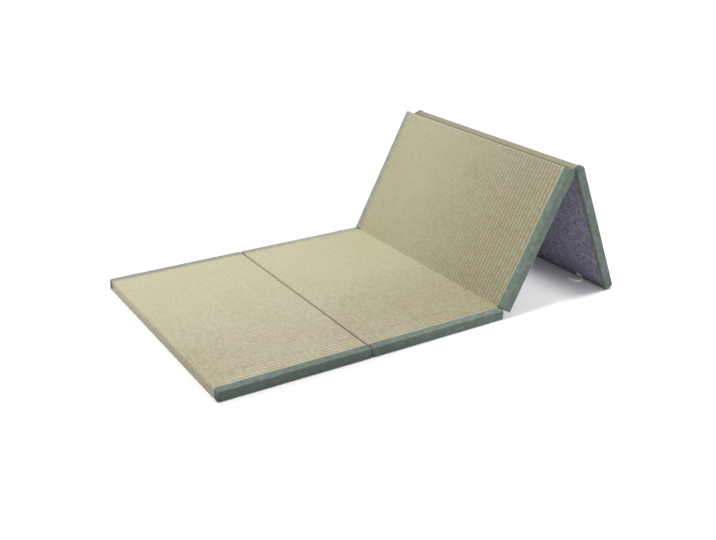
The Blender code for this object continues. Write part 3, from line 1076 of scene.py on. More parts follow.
# ---- Rush facings --------------------------------------------------------------------------
@dataclass(frozen=True)
class RushFacing:
    """A woven rush sheet over one panel, or over two with the crease between them."""

    panels: tuple[Panel, ...]
    step: float
    turn_ends: tuple[float, float] = (SIZES.rush_turn_end, SIZES.rush_turn_end)
    turn_step: float = 0.0035       # greatest step down the turned ends
    column_phases: tuple[float, ...] = (0.0, 0.09, 0.27, 0.5, 0.73, 0.91)
    bead: float = 0.00025
    bead_cell: float = 0.011        # length of a bead
    wander: float = 0.0008
    wander_cell: float = 0.11
    dents: tuple[tuple[float, float, int], ...] = ((0.0004, 0.16, 7), (0.0002, 0.05, 8))
    calm_reach: tuple[float, float] = (-0.002, 0.012)       # from an end, where dents fade in
    bulge: float = 0.0019           # of the turned-down ends, between the bindings
    bulge_reach: tuple[float, float] = (0.027, 0.016)
    hem_shade: float = 0.22         # how much painted shade darkens the turned-down ends
    hem_reach: float = 0.028        # of that painted shade, from the rims

    @property
    def label(self) -> str:
        """The numbers of the panels that the sheet covers."""
        return "".join(str(panel.number) for panel in self.panels)

    def _section(self) -> Section:
        """The sheet from one turned-down end over its panels to the other."""
        path = SectionPath()
        inset, level, radius = SIZES.face_inset, SIZES.rush_level, SIZES.rush_turn
        for panel in self.panels:
            length = panel.length
            first, last = inset + radius, length - inset - radius
            fold = abs(self.panels[-1].tilt - self.panels[0].tilt)
            tangent = SIZES.crease_radius * math.tan(fold / 2)
            if panel.start is End.WRAPPED:
                low = (inset, self.turn_ends[0])
                path.straight(panel, low, (inset, level - radius), (-1, 0), self.turn_step)
                path.add(panel, *arc((first, level - radius), radius, math.pi, math.pi / 2, 6))
            else:
                first = tangent - SIZES.crease_gap
            if panel.end is End.CREASED:
                last = length + SIZES.crease_gap - tangent
            path.straight(panel, (first, level), (last, level), (0, 1), self.step)
            if panel.end is End.WRAPPED:
                path.add(panel, *arc((last, level - radius), radius, math.pi / 2, 0, 6))
                low = (length - inset, self.turn_ends[1])
                path.straight(panel, (length - inset, level - radius), low, (1, 0), self.turn_step)
            else:
                middle = (last, level + SIZES.crease_radius)
                points, inwards = arc(middle, SIZES.crease_radius, -math.pi / 2, fold - math.pi / 2, 6)
                path.add(panel, points, -inwards)
        return path.section()

    def _columns(self) -> Array:
        """Places across the mat: the same few phases of every rib, between the hidden edges."""
        edge = SIZES.half_width - SIZES.rush_side_inset
        ribs = math.ceil(edge / SIZES.rib_pitch)
        places = (np.arange(-ribs, ribs)[:, None] + np.array(self.column_phases)) * SIZES.rib_pitch
        places = places.reshape(-1)
        return np.concatenate([[-edge], places[np.abs(places) < edge - 0.0005], [edge]])

    def build(self, finishes: Finishes) -> bpy.types.Object:
        """Makes the sheet.

        The outer face's height is crown + open * (rib + bead), where rib is
        -depth * (1 - sqrt(sin(pi * phase))) over each rib's phase, bead is noise along each
        rib, and open falls from 1 to a little under the bindings, which press the rush flat.
        """
        section = self._section()
        across = self._columns()
        along = section.distance[:, None]
        free = smooth(SIZES.open_half_width - np.abs(across), -0.001, 0.008)
        phase = np.mod(across / SIZES.rib_pitch, 1.0)
        number = np.floor(across / SIZES.rib_pitch)
        rib = -SIZES.rib_depth * (1 - np.sqrt(np.sin(math.pi * phase)))
        bead = self.bead * noise(along, number * 3.7 * self.bead_cell, self.bead_cell, 5)
        dent = sum(depth * noise(along, across, cell, seed) for depth, cell, seed in self.dents)
        calm = smooth(section.from_end, *self.calm_reach)[:, None]
        swell = SIZES.swell(section.from_end[:, None], across)
        from_rim = np.minimum(along, along[-1] - along)
        turned = smooth(from_rim, *self.bulge_reach)
        base = swell + dent * free * calm + self.bulge * turned * smooth(free, 0.0, 1.0)
        outer = base + rib * (0.25 + 0.75 * free) + bead * free * np.sqrt(np.sin(math.pi * phase))
        shift = self.wander * noise(along, across, self.wander_cell, 9) * free
        # painted shade on the turned-down ends, faded in from the rims
        hem = self.hem_shade * smooth(from_rim, self.hem_reach, self.hem_reach - 0.008) + 0 * across
        sheet = ClosedSheet(section, across, outer, swell - SIZES.rush, shift, {"hem": hem})
        surface = sheet.surface(column_pick=2 * len(self.column_phases))
        surface.points[:, 2] = np.maximum(surface.points[:, 2], 0.0)
        piece = surface.into_object(f"rush_sheet_{self.label}", finishes.rush, recalculate=True)
        stand_for(piece, f"rush_facing_{self.label}")
        return report(piece)


# ---- Bindings ------------------------------------------------------------------------------
@dataclass(frozen=True)
class Binding:
    """Cloth folded over one long side of a panel and round its wrapped ends."""

    panel: Panel
    side: Side
    step: float = 0.0042
    pucker: float = 0.00035
    pucker_cells: tuple[float, float] = (0.030, 0.011)
    tuck: float = 0.0006
    tuck_width: float = 0.013
    stitch_inset: float = 0.0026
    groove: float = 0.0002          # depth of the groove along the stitches
    groove_width: float = 0.0009
    lip: float = 0.0003             # how far the folded edge is pressed down
    edge_wander: float = 0.0006
    ridge_flare: float = 0.0045     # of the rising panel's back edge, just below the ridge
    low_soil: float = 0.58          # painted shade on the sides of the panels that lie
    low_clean: float = 0.15         # less of that painted shade towards the panel that rises
    low_edge_soil: float = 0.18     # painted shade added to it towards the back's edge
    far_soil: float = 0.20          # least painted shade at the mat's free end
    side_soil: float = 0.28         # painted shade on the sides of the panels that stand
    floor_soil: float = 0.22        # painted shade added to it near the floor
    under_soil: float = 0.55        # painted shade on the backs
    end_soil: float = 0.35          # painted shade added beside the wrapped ends
    crease_soil: float = 0.60       # least painted shade in the crease
    most_soil: float = 0.90
    lip_wear: float = 0.62          # paler at the cloth's folded edge
    bend_wear: float = 0.16         # painted highlight where the cloth bends, before the shares below
    low_share: float = 0.30         # of it on the panels that lie
    side_share: float = 0.15        # of it on the panels that stand
    heel_share: float = 1.20        # of it along the rising panel's back

    @property
    def label(self) -> str:
        """Side and panel, as in the names of the nodes."""
        return f"{self.side.word}_{self.panel.number}"

    def _inwards(self, limit: Array) -> Array:
        """Places inwards from the side, up to a limit that may change from row to row.

        The first few go round the edge; the rest are at radius + (limit - radius) * sin(t),
        which crowds them near the cloth's folded edge.
        """
        radius = SIZES.rounding
        turn = radius * (1 - np.tan(np.linspace(math.pi / 4, 0, 6)))
        share = np.sin(np.linspace(0, math.pi / 2, 11)[1:])
        limit = np.asarray(limit)[..., None]
        near = np.broadcast_to(turn, (*limit.shape[:-1], len(turn)))
        return np.concatenate([near, radius + (limit - radius) * share], axis=-1)

    def _tab_limit(self, w: Array) -> Array:
        """How far the cloth reaches inwards on a wrapped end, at each height."""
        top = SIZES.thickness
        reach = SIZES.flap + (SIZES.tab - SIZES.flap) * smooth(w, SIZES.flap_lift, 0.009)
        return reach + (SIZES.strip - SIZES.tab) * smooth(w, top - SIZES.rounding, top)

    def _reach(self, width: Union[float, Array], u: Array, seed: int) -> Array:
        """A width that wanders a little along the panel and is true at its ends."""
        wander = noise(u, 0.0, 0.060, seed) + 0.5 * noise(u, 0.0, 0.022, seed + 1)
        return width + self.edge_wander * wander * smooth(np.minimum(u, self.panel.length - u), 0.0, 0.04)

    def _patches(self) -> list[tuple[Array, Array, Array]]:
        """Patches of the sharp skin: points (u, q, w), cloth coordinates and distance from the edge."""
        length, top, low = self.panel.length, SIZES.thickness, SIZES.flap_lift
        wrapped = (self.panel.start is End.WRAPPED, self.panel.end is End.WRAPPED)
        u = round_stations(length, SIZES.rounding, self.step, wrapped)
        w = low + round_stations(top - low, SIZES.rounding, 0.003, (True, True))
        seed = 50 + self.panel.number + 10 * self.side.value
        strip_reach = self._reach(self.panel.strip(u), u, seed)
        flap_reach = self._reach(SIZES.flap, u, seed + 4)
        strip = self._inwards(strip_reach)
        flap = self._inwards(flap_reach).T
        deep = top - low
        patches = []

        def patch(points: Sequence[Array], uv: Sequence[Array], edge: Array) -> None:
            """Keeps one patch with its arrays broadcast to one shape."""
            points = np.stack(np.broadcast_arrays(*points), axis=-1)
            uv = np.stack(np.broadcast_arrays(*uv), axis=-1)
            patches.append((points, uv, np.broadcast_to(edge, points.shape[:2])))

        patch((u[:, None], strip, top), (u[:, None], SIZES.strip - strip), strip_reach[:, None] - strip)
        patch((u[:, None], 0.0, w), (u[:, None], SIZES.strip + top - w), np.array(1.0))
        patch((u[None, :], flap, low), (u[None, :], SIZES.strip + deep + flap), flap_reach[None, :] - flap)
        limit = self._tab_limit(w)
        q = self._inwards(limit)
        edge = limit[:, None] - q
        if wrapped[0]:
            patch((0.0, q, w[:, None]), (-q, SIZES.strip + top - w[:, None]), edge)
        if wrapped[1]:
            patch((length, q.T, w[None, :]), (length + q.T, SIZES.strip + top - w[None, :]), edge.T)
        return patches

    def _box(self) -> RoundedBox:
        """The rounded box that the cloth is the skin of."""
        low = 0.0 if self.panel.start is End.WRAPPED else -math.inf
        high = self.panel.length if self.panel.end is End.WRAPPED else math.inf
        return RoundedBox((low, 0.0, SIZES.flap_lift), (high, math.inf, SIZES.thickness), SIZES.rounding)

    def _relief(self, points: Array, normals: Array, edge: Array) -> Array:
        """Height of the cloth above the plain skin.

        Puckers are noise along the side, faded on the back and at the cloth's edge; the
        stitch line is a soft groove; the tuck is a second layer beside a wrapped end's corner.
        """
        u, q, w = points[..., 0], points[..., 1], points[..., 2]
        seed = 20 + self.panel.number + 10 * self.side.value
        open_side = np.clip(1 + 1.5 * np.minimum(normals[..., 2], 0), 0, 1) * smooth(edge, 0.001, 0.008)
        long, short = self.pucker_cells
        wave = noise(u, q + w, long, seed) + 0.6 * noise(u, q + w, short, seed + 1)
        pucker = self.pucker * (0.4 + 0.6 * wave) * open_side
        groove = -self.groove * np.exp(-((edge - self.stitch_inset) / self.groove_width) ** 2)
        lip = -self.lip * (1 - smooth(edge, 0.0, 0.0012))
        on_end = smooth(np.abs(normals[..., 0]), 0.6, 0.95)
        tuck = self.tuck * smooth(q, self.tuck_width, self.tuck_width - 0.0012) * on_end
        return pucker + groove + lip + tuck

    def _drawn_to_ridge(self, points: Array, edge: Array) -> Array:
        """Draws the low corners at the ridge together, with a small bulge just below it.

        The corner moves along the panel by the ridge's gap, and the rising panel's back edge
        moves out of the back by flare; both fade away with smooth ramps on every side.
        """
        if self.panel.lies:
            return points
        moved = points.copy()
        u, w = points[..., 0], points[..., 2]
        from_ridge = self.panel.length - u if self.panel.rises else u
        way = 1.0 if self.panel.rises else -1.0
        meet = smooth(w, 0.010, 0.001) * smooth(from_ridge, 0.006, 0.0) * smooth(edge, 0.0, 0.008)
        moved[..., 0] += way * SIZES.ridge_gap * meet
        if self.panel.rises:
            near = smooth(from_ridge, 0.11, 0.035) * smooth(from_ridge, 0.0, 0.016)
            moved[..., 2] -= self.ridge_flare * near * smooth(w, 0.020, 0.003) * smooth(edge, 0.0, 0.013)
        return moved

    def _fields(self, points: Array, normals: Array, edge: Array) -> dict[str, Array]:
        """Paler along the cloth's folded edge, painted highlight where it bends, and painted shade on the
        sides, darker near the floor, on the backs, beside the wrapped ends and in the crease.
        """
        u, w = points[..., 0], points[..., 2]
        along, beside, up = (np.abs(normals[..., axis]) for axis in range(3))
        bend = 2 * np.maximum(np.maximum(beside * up, along * beside), along * up)
        height = w / SIZES.thickness
        lip = 1 - smooth(edge, 0.0028, 0.0050)
        # painted highlight on the rounded bends: high on the sides, and low along the rising panel's back
        lit_bend = smooth(bend, 0.55, 1.0) * smooth(height, 0.4, 0.8)
        heel = smooth(bend, 0.55, 1.0) * smooth(height, 0.3, 0.1)
        upright = smooth(np.maximum(beside, along), 0.55, 0.95)
        under = smooth(-normals[..., 2], 0.3, 0.9)
        from_start = u if self.panel.start is End.WRAPPED else u + 1
        from_last = self.panel.length - u if self.panel.end is End.WRAPPED else u + 1
        near_end = smooth(np.minimum(from_start, from_last), 0.010, 0.0) * smooth(height, 0.9, 0.1)
        placed = self.panel.place(u, 0.0 * u, w)
        x, z = placed[..., 0], placed[..., 2]
        # painted shade on the sides, darker near the floor
        if self.panel.lies:
            shade_lift = self.low_clean * smooth(x, -0.25, 0.05)
            soil = upright * (self.low_soil - shade_lift + self.low_edge_soil * smooth(height, 0.5, 0.0))
            lit_bend = lit_bend * self.low_share
        else:
            lit_bend = lit_bend * self.side_share + heel * self.panel.rises * self.heel_share
            soil = upright * (self.side_soil + self.floor_soil * smooth(z, 0.09, 0.0))
        # painted shade on the backs and beside the wrapped ends
        soil = np.maximum(soil, self.under_soil * under) + self.end_soil * near_end
        # painted shade in the crease
        to_crease = self.panel.length - u if self.panel.end is End.CREASED else u
        creased = End.CREASED in (self.panel.start, self.panel.end)
        soil = np.maximum(soil, self.crease_soil * smooth(to_crease, 0.005, 0.0) * creased)
        # painted shade at least this deep towards the mat's free end
        if self.panel.lies:
            soil = np.maximum(soil, self.far_soil * smooth(x, 0.0, -0.25))
        # paler along the folded edge except on the back, and painted highlight on the bends
        wear = self.lip_wear * lip * (1 - 0.95 * under) + self.bend_wear * lit_bend * (1 - lip)
        return {"wear": wear, "soil": np.minimum(soil, self.most_soil)}

    def build(self, finishes: Finishes) -> bpy.types.Object:
        """Makes the cloth and gives it its thickness."""
        box = self._box()
        parts = []
        for sharp, uv, edge in self._patches():
            skin, normals = box.wrap(sharp)
            moved = skin + normals * self._relief(skin, normals, edge)[..., None]
            moved = self._drawn_to_ridge(moved, edge)
            y = self.side.value * (SIZES.half_width - moved[..., 1])
            placed = self.panel.place(moved[..., 0], y, moved[..., 2])
            placed[..., 2] = np.maximum(placed[..., 2], FLOOR_CLEARANCE)
            fields = self._fields(skin, normals, edge)
            parts.append(Surface.grid(placed, uv, fields, turned=self.side is Side.BACK))
        piece = Surface.join(parts).welded().into_object(f"binding_cloth_{self.label}", finishes.binding)
        solidify = piece.modifiers.new("thickness", "SOLIDIFY")
        solidify.thickness = SIZES.binding_cloth
        solidify.offset = -1
        solidify.use_even_offset = True
        stand_for(piece, f"binding_{self.label}")
        width = SIZES.strip + SIZES.thickness + SIZES.flap
        tabs = SIZES.tab * (self.panel.start, self.panel.end).count(End.WRAPPED)
        area = self.panel.length * width + tabs * SIZES.thickness
        return report(piece)


# ---- Hinge strips --------------------------------------------------------------------------
@dataclass(frozen=True)
class HingeStrip:
    """A felt strip let into two backs, bent where the backs meet at a ridge."""

    before: Panel
    after: Panel
    step: float = 0.004             # greatest step along the strip
    columns: int = 160              # points across it
    roughness: float = 0.00025      # depth of the felt's unevenness

    @property
    def label(self) -> str:
        """The numbers of the two panels."""
        return f"{self.before.number}{self.after.number}"

    def _section(self) -> Section:
        """The strip's outer face, from one back to the other."""
        lift, reach, bend = SIZES.flap_lift, SIZES.hinge_reach, SIZES.hinge_bend
        length = self.before.length
        fold = self.before.tilt - self.after.tilt
        path = SectionPath()
        if fold > 0.01:
            slope = math.tan(fold / 2)
            corner = length + SIZES.ridge_gap + lift * slope
            middle = (corner - bend * slope, lift - bend)
            path.straight(self.before, (length - reach, lift), (middle[0], lift), (0, -1), self.step)
            points, outwards = arc(middle, bend, math.pi / 2, math.pi / 2 - fold, 12)
            path.add(self.before, points, -outwards)
            start = bend * slope - SIZES.ridge_gap - lift * slope
            path.straight(self.after, (start, lift), (reach, lift), (0, -1), self.step)
        else:
            path.straight(self.before, (length - reach, lift), (length, lift), (0, -1), self.step)
            path.straight(self.after, (0.0, lift), (reach, lift), (0, -1), self.step)
        return path.section()

    def build(self, finishes: Finishes) -> bpy.types.Object:
        """Makes the strip, a closed sheet whose thickness lies inside the backs."""
        section = self._section()
        edge = SIZES.half_width - SIZES.flap - SIZES.hinge_side_gap
        across = np.linspace(-edge, edge, self.columns)
        along = section.distance[:, None]
        from_edge = np.minimum(along, along[-1] - along)
        rough = self.roughness * (noise(along, across, 0.014, 41) - 1) * smooth(from_edge, 0.0, 0.004)
        outer = rough + 0 * across
        sheet = ClosedSheet(section, across, outer, np.full_like(outer, -SIZES.hinge_cloth), 0 * outer)
        surface = sheet.surface(column_pick=8)
        piece = surface.into_object(f"hinge_cloth_{self.label}", finishes.felt, recalculate=True)
        stand_for(piece, f"hinge_strip_{self.label}")
        return report(piece)


# ---- Stitches ------------------------------------------------------------------------------
@dataclass
class Stitches:
    """Rows of thread stitches, each a short bent rod with its ends in the cloth."""

    name: str
    pitch: float = 0.005
    length: float = 0.0034
    radius: float = 0.00030
    sides: int = 5
    stray: float = 0.12             # of a stitch's direction, sideways
    rows: list[tuple[Array, Array, Array]] = field(default_factory=list)

    def add_row(self, panel: Panel, first: tuple[float, float, float], last: tuple[float, float, float],
                normal: tuple[float, float, float]) -> None:
        """Adds a row between two places in a panel's coordinates (u, y, w).

        Args:
            panel: the panel.
            first: where the row starts.
            last: where it ends.
            normal: direction out of the cloth.
        """
        count = int(math.dist(first, last) / self.pitch)
        places = np.linspace(first, last, count + 1)
        middles = (places[:-1] + places[1:]) / 2
        points = panel.place(middles[:, 0], middles[:, 1], middles[:, 2])
        way = np.subtract(last, first) / math.dist(first, last)
        along = np.broadcast_to(panel.direction(*way), points.shape)
        out = np.broadcast_to(panel.direction(*normal), points.shape)
        self.rows.append((points, along, out))

    def _rod(self) -> tuple[Array, list[list[int]]]:
        """One stitch: rings of points along a low arch, thinner at its ends."""
        x = np.array([-0.5, -0.3, 0.3, 0.5]) * self.length
        thick = np.array([0.55, 1.0, 1.0, 0.55]) * self.radius
        rise = np.array([-1.0, 0.0, 0.0, -1.0]) * self.radius
        sides = self.sides
        angle = np.arange(sides) * math.tau / sides
        y = thick[:, None] * np.cos(angle)
        z = rise[:, None] + thick[:, None] * np.sin(angle)
        points = np.stack(np.broadcast_arrays(x[:, None], y, z), axis=-1).reshape(-1, 3)
        faces = []
        for ring in range(len(x) - 1):
            for turn in range(sides):
                after = (turn + 1) % sides
                near, far = ring * sides, (ring + 1) * sides
                faces.append([near + turn, far + turn, far + after, near + after])
        faces.append(list(range(sides)))
        faces.append(list(range(len(points) - 1, len(points) - 1 - sides, -1)))
        return points, faces

    def build(self, finishes: Finishes) -> bpy.types.Object:
        """Copies the rod to every stitch, turned to the row's direction."""
        rod, faces = self._rod()
        points = np.concatenate([row[0] for row in self.rows])
        along = np.concatenate([row[1] for row in self.rows])
        out = np.concatenate([row[2] for row in self.rows])
        beside = np.cross(out, along)
        wander = np.random.default_rng(3).uniform(-self.stray, self.stray, (len(points), 1))
        along = along + wander * beside
        placed = (points[:, None, :] + rod[:, 0, None] * along[:, None, :]
                  + rod[:, 1, None] * beside[:, None, :] + rod[:, 2, None] * out[:, None, :])
        sizes = np.array([len(face) for face in faces])
        corners = np.concatenate(faces)
        offsets = np.arange(len(points))[:, None] * len(rod)
        uv = np.broadcast_to(rod[corners][:, :2], (len(points), len(corners), 2)).reshape(-1, 2)
        corners = (corners[None, :] + offsets).reshape(-1)
        surface = Surface(placed.reshape(-1, 3), corners, np.tile(sizes, len(points)), uv)
        piece = surface.into_object(self.name, finishes.thread)
        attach(piece, BODY)
        return report(piece)


def panel_stitches(panel: Panel, inset: float = 0.0026, sunk: float = 0.0001) -> Stitches:
    """The rows that hold a panel's bindings: along the face, along the back and on its ends.

    Args:
        panel: the panel.
        inset: from the cloth's edge to the row.
        sunk: how deep the rows on the face and the ends lie in the cloth.

    Returns:
        The stitches, ready to build.
    """
    stitches = Stitches(f"binding_stitches_{panel.number}")
    wrapped, creased = 0.009, 0.002                 # from a panel's end to the first stitch
    first = wrapped if panel.start is End.WRAPPED else creased
    last = panel.length - (wrapped if panel.end is End.WRAPPED else creased)
    under = RAISED_OFF_FLOOR if panel.lies else sunk / 2
    for side in Side:
        back_y = side.value * (SIZES.half_width - SIZES.flap + inset)
        tab_y = side.value * (SIZES.half_width - SIZES.tab + inset)
        top = SIZES.thickness - sunk
        cuts = np.linspace(first, last, 9)
        face_y = side.value * (SIZES.half_width - panel.strip(cuts) + inset)
        knots = [(u, y, top) for u, y in zip(cuts, face_y)]
        for here, there in zip(knots[:-1], knots[1:]):
            stitches.add_row(panel, here, there, (0, 0, 1))
        stitches.add_row(panel, (first, back_y, under), (last, back_y, under), (0, 0, -1))
        heights = (0.011, SIZES.thickness - 0.007)
        if panel.start is End.WRAPPED:
            stitches.add_row(panel, (sunk, tab_y, heights[0]), (sunk, tab_y, heights[1]), (-1, 0, 0))
        if panel.end is End.WRAPPED:
            u = panel.length - sunk
            stitches.add_row(panel, (u, tab_y, heights[0]), (u, tab_y, heights[1]), (1, 0, 0))
    return stitches


def hinge_stitches(before: Panel, after: Panel, inset: float = 0.004, sunk: float = 0.0001) -> Stitches:
    """The rows that hold a hinge strip, one on each back, sunk a little into it."""
    stitches = Stitches(f"hinge_stitches_{before.number}{after.number}")
    edge = SIZES.half_width - SIZES.flap - SIZES.rounding
    under = RAISED_OFF_FLOOR if before.lies else sunk
    rows = ((before, before.length - SIZES.hinge_reach + inset), (after, SIZES.hinge_reach - inset))
    for panel, u in rows:
        stitches.add_row(panel, (u, -edge, under), (u, edge, under), (0, 0, -1))
    return stitches


# ---- Ribbon --------------------------------------------------------------------------------
@dataclass(frozen=True)
class RibbonTab:
    """A ribbon folded in half along its length, which stands on edge in a loop at the foot."""

    flat_width: float = 0.019
    cloth: float = 0.0004
    slit: float = 0.0002            # between the ribbon's two halves
    leg: float = 0.022
    turn_radius: float = 0.019
    lift: float = 0.0002
    rise: float = 0.009             # of the sewn end above the floor
    lean: float = 0.40              # sideways per height, where it lies against the felt
    droop: float = 0.22             # the same at its free end
    edge_inset: float = 0.0005      # from the sewn leg's middle to the edge of its solid's box
    arch: float = 0.0006            # of the turn above the floor
    stray: float = 0.004            # of the free leg outwards

    def _line(self) -> tuple[Array, Array, Array]:
        """Middle line (x, y) from above, its sideways directions and the distance along it.

        It runs along the foot, round a half circle and back, and its free leg strays
        outwards as stray * (distance / leg)^2.
        """
        straight = np.linspace(0, self.leg, 9)
        first = np.stack([0 * straight, -straight], axis=-1)
        turn, _ = arc((-self.turn_radius, -self.leg), self.turn_radius, 0, -math.pi, 30)
        stray = self.stray * (straight / self.leg) ** 2
        last = np.stack([-2 * self.turn_radius - stray, straight - self.leg], axis=-1)
        line = np.concatenate([first[:-1], turn, last[1:]])
        step = np.gradient(line, axis=0)
        step /= np.linalg.norm(step, axis=1, keepdims=True)
        distance = np.concatenate([[0.0], np.cumsum(np.linalg.norm(np.diff(line, axis=0), axis=1))])
        return line, np.stack([step[:, 1], -step[:, 0]], axis=-1), distance

    def _outline(self) -> Array:
        """The folded ribbon's outline (sideways, up): over its fold outside, and back inside."""
        inner = self.slit / 2
        outer = inner + self.cloth
        half = self.flat_width / 2
        up = np.linspace(0, half - outer, 5)
        over, _ = arc((0.0, half - outer), outer, math.pi, 0, 6)
        back, _ = arc((0.0, half - outer), inner, 0, math.pi, 6)
        left = np.stack([np.full_like(up, -outer), up], axis=-1)[:-1]
        right = np.stack([np.full_like(up, outer), up[::-1]], axis=-1)[1:]
        inside_right = np.stack([np.full_like(up, inner), up], axis=-1)[:-1]
        inside_left = np.stack([np.full_like(up, -inner), up[::-1]], axis=-1)[1:]
        return np.concatenate([left, over, right, inside_right, back, inside_left])

    def build(self, finishes: Finishes) -> bpy.types.Object:
        """Sweeps the outline along the line and closes both ends."""
        line, sideways, distance = self._line()
        outline = self._outline()
        _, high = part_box("ribbon_tab")
        share = smooth(-line[:, 0] / (2 * self.turn_radius), 0.0, 1.0)[:, None]
        aside, up = outline[None, :, 0], outline[None, :, 1]
        risen = self.rise * (1 - smooth(distance, self.leg * 0.6, self.leg * 2.6))[:, None]
        lean = -self.lean * (1 - share) - self.droop * share
        x = high.x - self.edge_inset + line[:, 0, None] + aside * sideways[:, 0, None]
        x = x + lean * up - self.lean * risen
        y = high.y + line[:, 1, None] + aside * sideways[:, 1, None]
        z = self.lift + risen + up * (1 - 0.1 * share) + self.arch * np.sin(math.pi * share) ** 2
        rings = np.stack(np.broadcast_arrays(x, y, z), axis=-1)
        rings = np.concatenate([rings, rings[:, :1]], axis=1)
        around = np.concatenate([[0.0], np.cumsum(np.linalg.norm(np.diff(rings[0], axis=0), axis=1))])
        uv = np.stack(np.broadcast_arrays(distance[:, None], around[None, :]), axis=-1)
        tube = Surface.grid(rings, uv).welded()
        caps = self._caps(tube, rings)
        piece = caps.into_object("ribbon_loop", finishes.ribbon, recalculate=True)
        stand_for(piece, "ribbon_tab")
        return report(piece)

    @staticmethod
    def _caps(tube: Surface, rings: Array) -> Surface:
        """The tube with a strip of quads across the cloth at each end."""
        count = rings.shape[1] - 1
        half = count // 2
        parts = [tube]
        for ring in (rings[0, :-1], rings[-1, :-1]):
            outside, inside = ring[:half], ring[:half - 1:-1][:half]
            strip = np.stack([outside, inside], axis=0)
            parts.append(Surface.grid(strip, strip[..., 1:]))
        return Surface.join(parts).welded()


# ---- The mat -------------------------------------------------------------------------------
class TatamiMat:
    """The whole mat, made panel by panel."""

    def __init__(self, finishes: Finishes) -> None:
        """Reads the panels' places from the frame."""
        self.finishes = finishes
        self.panels = (
            Panel.from_frame(1, End.WRAPPED, End.WRAPPED, hinge_at_end=True),
            Panel.from_frame(2, End.WRAPPED, End.CREASED, hinge_at_end=False),
            Panel.from_frame(3, End.CREASED, End.WRAPPED, hinge_at_end=True),
            Panel.from_frame(4, End.WRAPPED, End.WRAPPED, hinge_at_end=False),
        )

    def build(self) -> None:
        """Makes every piece."""
        first, second, third, fourth = self.panels
        for panel in self.panels:
            tilt = math.degrees(panel.tilt)
            LOG.info("panel %d: tilt %.2f degrees, length %.4f", panel.number, tilt, panel.length)
            FeltPad(panel).build(self.finishes)
        for facing in self._facings(first, second, third, fourth):
            facing.build(self.finishes)
        for side in Side:
            for panel in self.panels:
                Binding(panel, side).build(self.finishes)
        for before, after in ((first, second), (third, fourth)):
            HingeStrip(before, after).build(self.finishes)
            hinge_stitches(before, after).build(self.finishes)
        for panel in self.panels:
            panel_stitches(panel).build(self.finishes)
        RibbonTab().build(self.finishes)

    @staticmethod
    def _facings(first: Panel, second: Panel, third: Panel, fourth: Panel) -> tuple[RushFacing, ...]:
        """The rush sheets, with a coarser step on the long one and more painted shade on the hem at the
        ridge.
        """
        free, turned, ridge = SIZES.rush_free_end, SIZES.rush_turn_end, SIZES.rush_ridge_end
        return (
            RushFacing((first,), 0.0034, (free, turned)),
            RushFacing((second, third), 0.0043, (turned, ridge)),
            RushFacing((fourth,), 0.0034, (ridge, turned), hem_shade=0.60, hem_reach=0.038),
        )


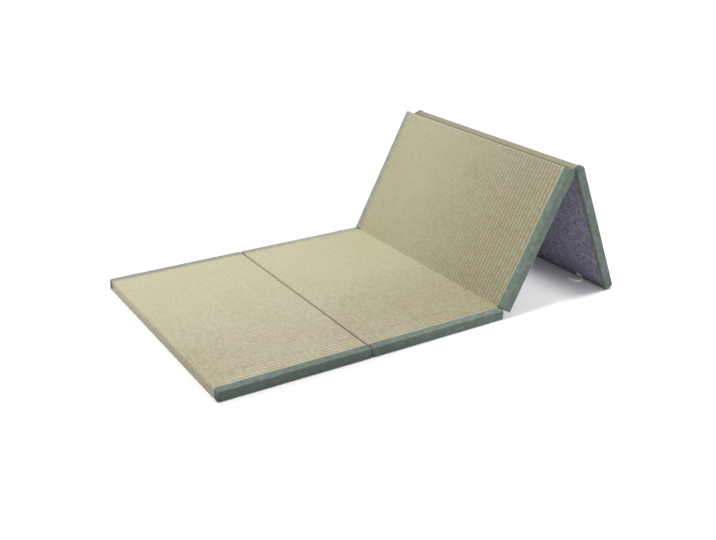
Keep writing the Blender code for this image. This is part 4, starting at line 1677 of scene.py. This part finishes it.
# ---- Studio --------------------------------------------------------------------------------
@dataclass(frozen=True)
class Studio:
    """Pale floor, soft light and the camera."""

    floor_half: float = 25.0
    floor_shade: float = 0.93
    sky: float = 0.64
    sun_power: float = 1.60
    sun_spread: float = math.radians(8)
    sun_from: tuple[float, float, float] = (0.0, 0.0, 1.2)
    fill_power: float = 6.0
    fill_size: float = 1.6
    fill_place: tuple[float, float, float] = (0.45, -2.7, 1.0)
    fill_aim: tuple[float, float, float] = (0.62, -0.2, 0.1)
    glow_power: float = 250.0       # on the floor alone, shaded by the last panel alone
    glow_radius: float = 0.5
    glow_cone: float = math.radians(24)
    glow_place: tuple[float, float, float] = (0.24, -0.14, 2.0)
    glow_aim: tuple[float, float, float] = (0.50, -0.14, 0.0)
    aim: tuple[float, float, float] = (-0.0142, 0.0, 0.0715)
    azimuth: float = math.radians(-31.57)
    elevation: float = math.radians(22.72)
    distance: float = 3.326
    lens: float = 48.32

    def build(self) -> None:
        """Makes all of it."""
        bpy.context.scene.view_settings.view_transform = "Standard"
        self._floor()
        self._light()
        self._camera()

    def _floor(self) -> None:
        """A plain pale floor just under the mat."""
        half, z = self.floor_half, CAD_BOX[0].z - SIZES.gap
        corners = np.array([[[-half, -half, z], [-half, half, z]], [[half, -half, z], [half, half, z]]])
        graph = Graph("pale_floor")
        grain = graph.noise(graph.place(), 6.0, 2.0)
        shades = [(shade,) * 3 + (1.0,) for shade in (self.floor_shade, self.floor_shade + 0.01)]
        tone = graph.mix(grain, *shades)
        material = graph.finish(tone, 0.9, graph.bump(grain * 0.0), {"Specular IOR Level": 0.1})
        floor = Surface.grid(corners, corners[..., :2]).into_object("studio_floor", material)

    def _light(self) -> None:
        """An even sky, a broad sun and a soft fill before the tent."""
        world = bpy.data.worlds.new("soft_sky")
        world.use_nodes = True
        background = world.node_tree.nodes["Background"]
        background.inputs["Color"].default_value = (1.0, 1.0, 1.0, 1.0)
        background.inputs["Strength"].default_value = self.sky
        bpy.context.scene.world = world
        sun = self._lamp("broad_sun", "SUN", self.sun_power, self.sun_from, (0.0, 0.0, 0.0))
        sun.data.angle = self.sun_spread
        fill = self._lamp("tent_fill", "AREA", self.fill_power, self.fill_place, self.fill_aim)
        fill.data.size = self.fill_size

    def glow(self, shades: Sequence[bpy.types.Object]) -> None:
        """Adds the broad lamp over the tent that lights the floor alone.

        Args:
            shades: the pieces that cast its shadow.
        """
        glow = self._lamp("floor_glow", "SPOT", self.glow_power, self.glow_place, self.glow_aim)
        glow.data.shadow_soft_size = self.glow_radius
        glow.data.spot_size = self.glow_cone
        glow.data.spot_blend = 1.0
        lit, shading = (bpy.data.collections.new(name) for name in ("lit_by_glow", "shading_glow"))
        lit.objects.link(bpy.data.objects["studio_floor"])
        for piece in shades:
            shading.objects.link(piece)
        glow.light_linking.receiver_collection = lit
        glow.light_linking.blocker_collection = shading

    @staticmethod
    def _lamp(name: str, kind: str, power: float, place: Sequence[float],
              aim: Sequence[float]) -> bpy.types.Object:
        """Adds a lamp that shines from one place towards another."""
        data = bpy.data.lights.new(name, kind)
        data.energy = power
        lamp = bpy.data.objects.new(name, data)
        lamp.location = place
        lamp.rotation_euler = (Vector(aim) - Vector(place)).to_track_quat("-Z", "Y").to_euler()
        bpy.context.scene.collection.objects.link(lamp)
        return lamp

    def _camera(self) -> None:
        """The camera, a distance back from its aim."""
        back = Vector((
            math.sin(self.azimuth) * math.cos(self.elevation),
            -math.cos(self.azimuth) * math.cos(self.elevation),
            math.sin(self.elevation),
        ))
        data = bpy.data.cameras.new("camera")
        data.lens = self.lens
        camera = bpy.data.objects.new("camera", data)
        camera.location = Vector(self.aim) + self.distance * back
        camera.rotation_euler = (-back).to_track_quat("-Z", "Y").to_euler()
        bpy.context.scene.collection.objects.link(camera)
        bpy.context.scene.camera = camera


def main() -> None:
    """Builds the mat in its studio."""
    logging.basicConfig(level=logging.INFO, format="%(name)s: %(message)s")
    studio = Studio()
    studio.build()
    TatamiMat(Finishes.make()).build()
    last = [piece for piece in bpy.data.objects if piece.name.endswith("_4") and piece.type == "MESH"]
    studio.glow(last)


if __name__ == "__main__":
    main()
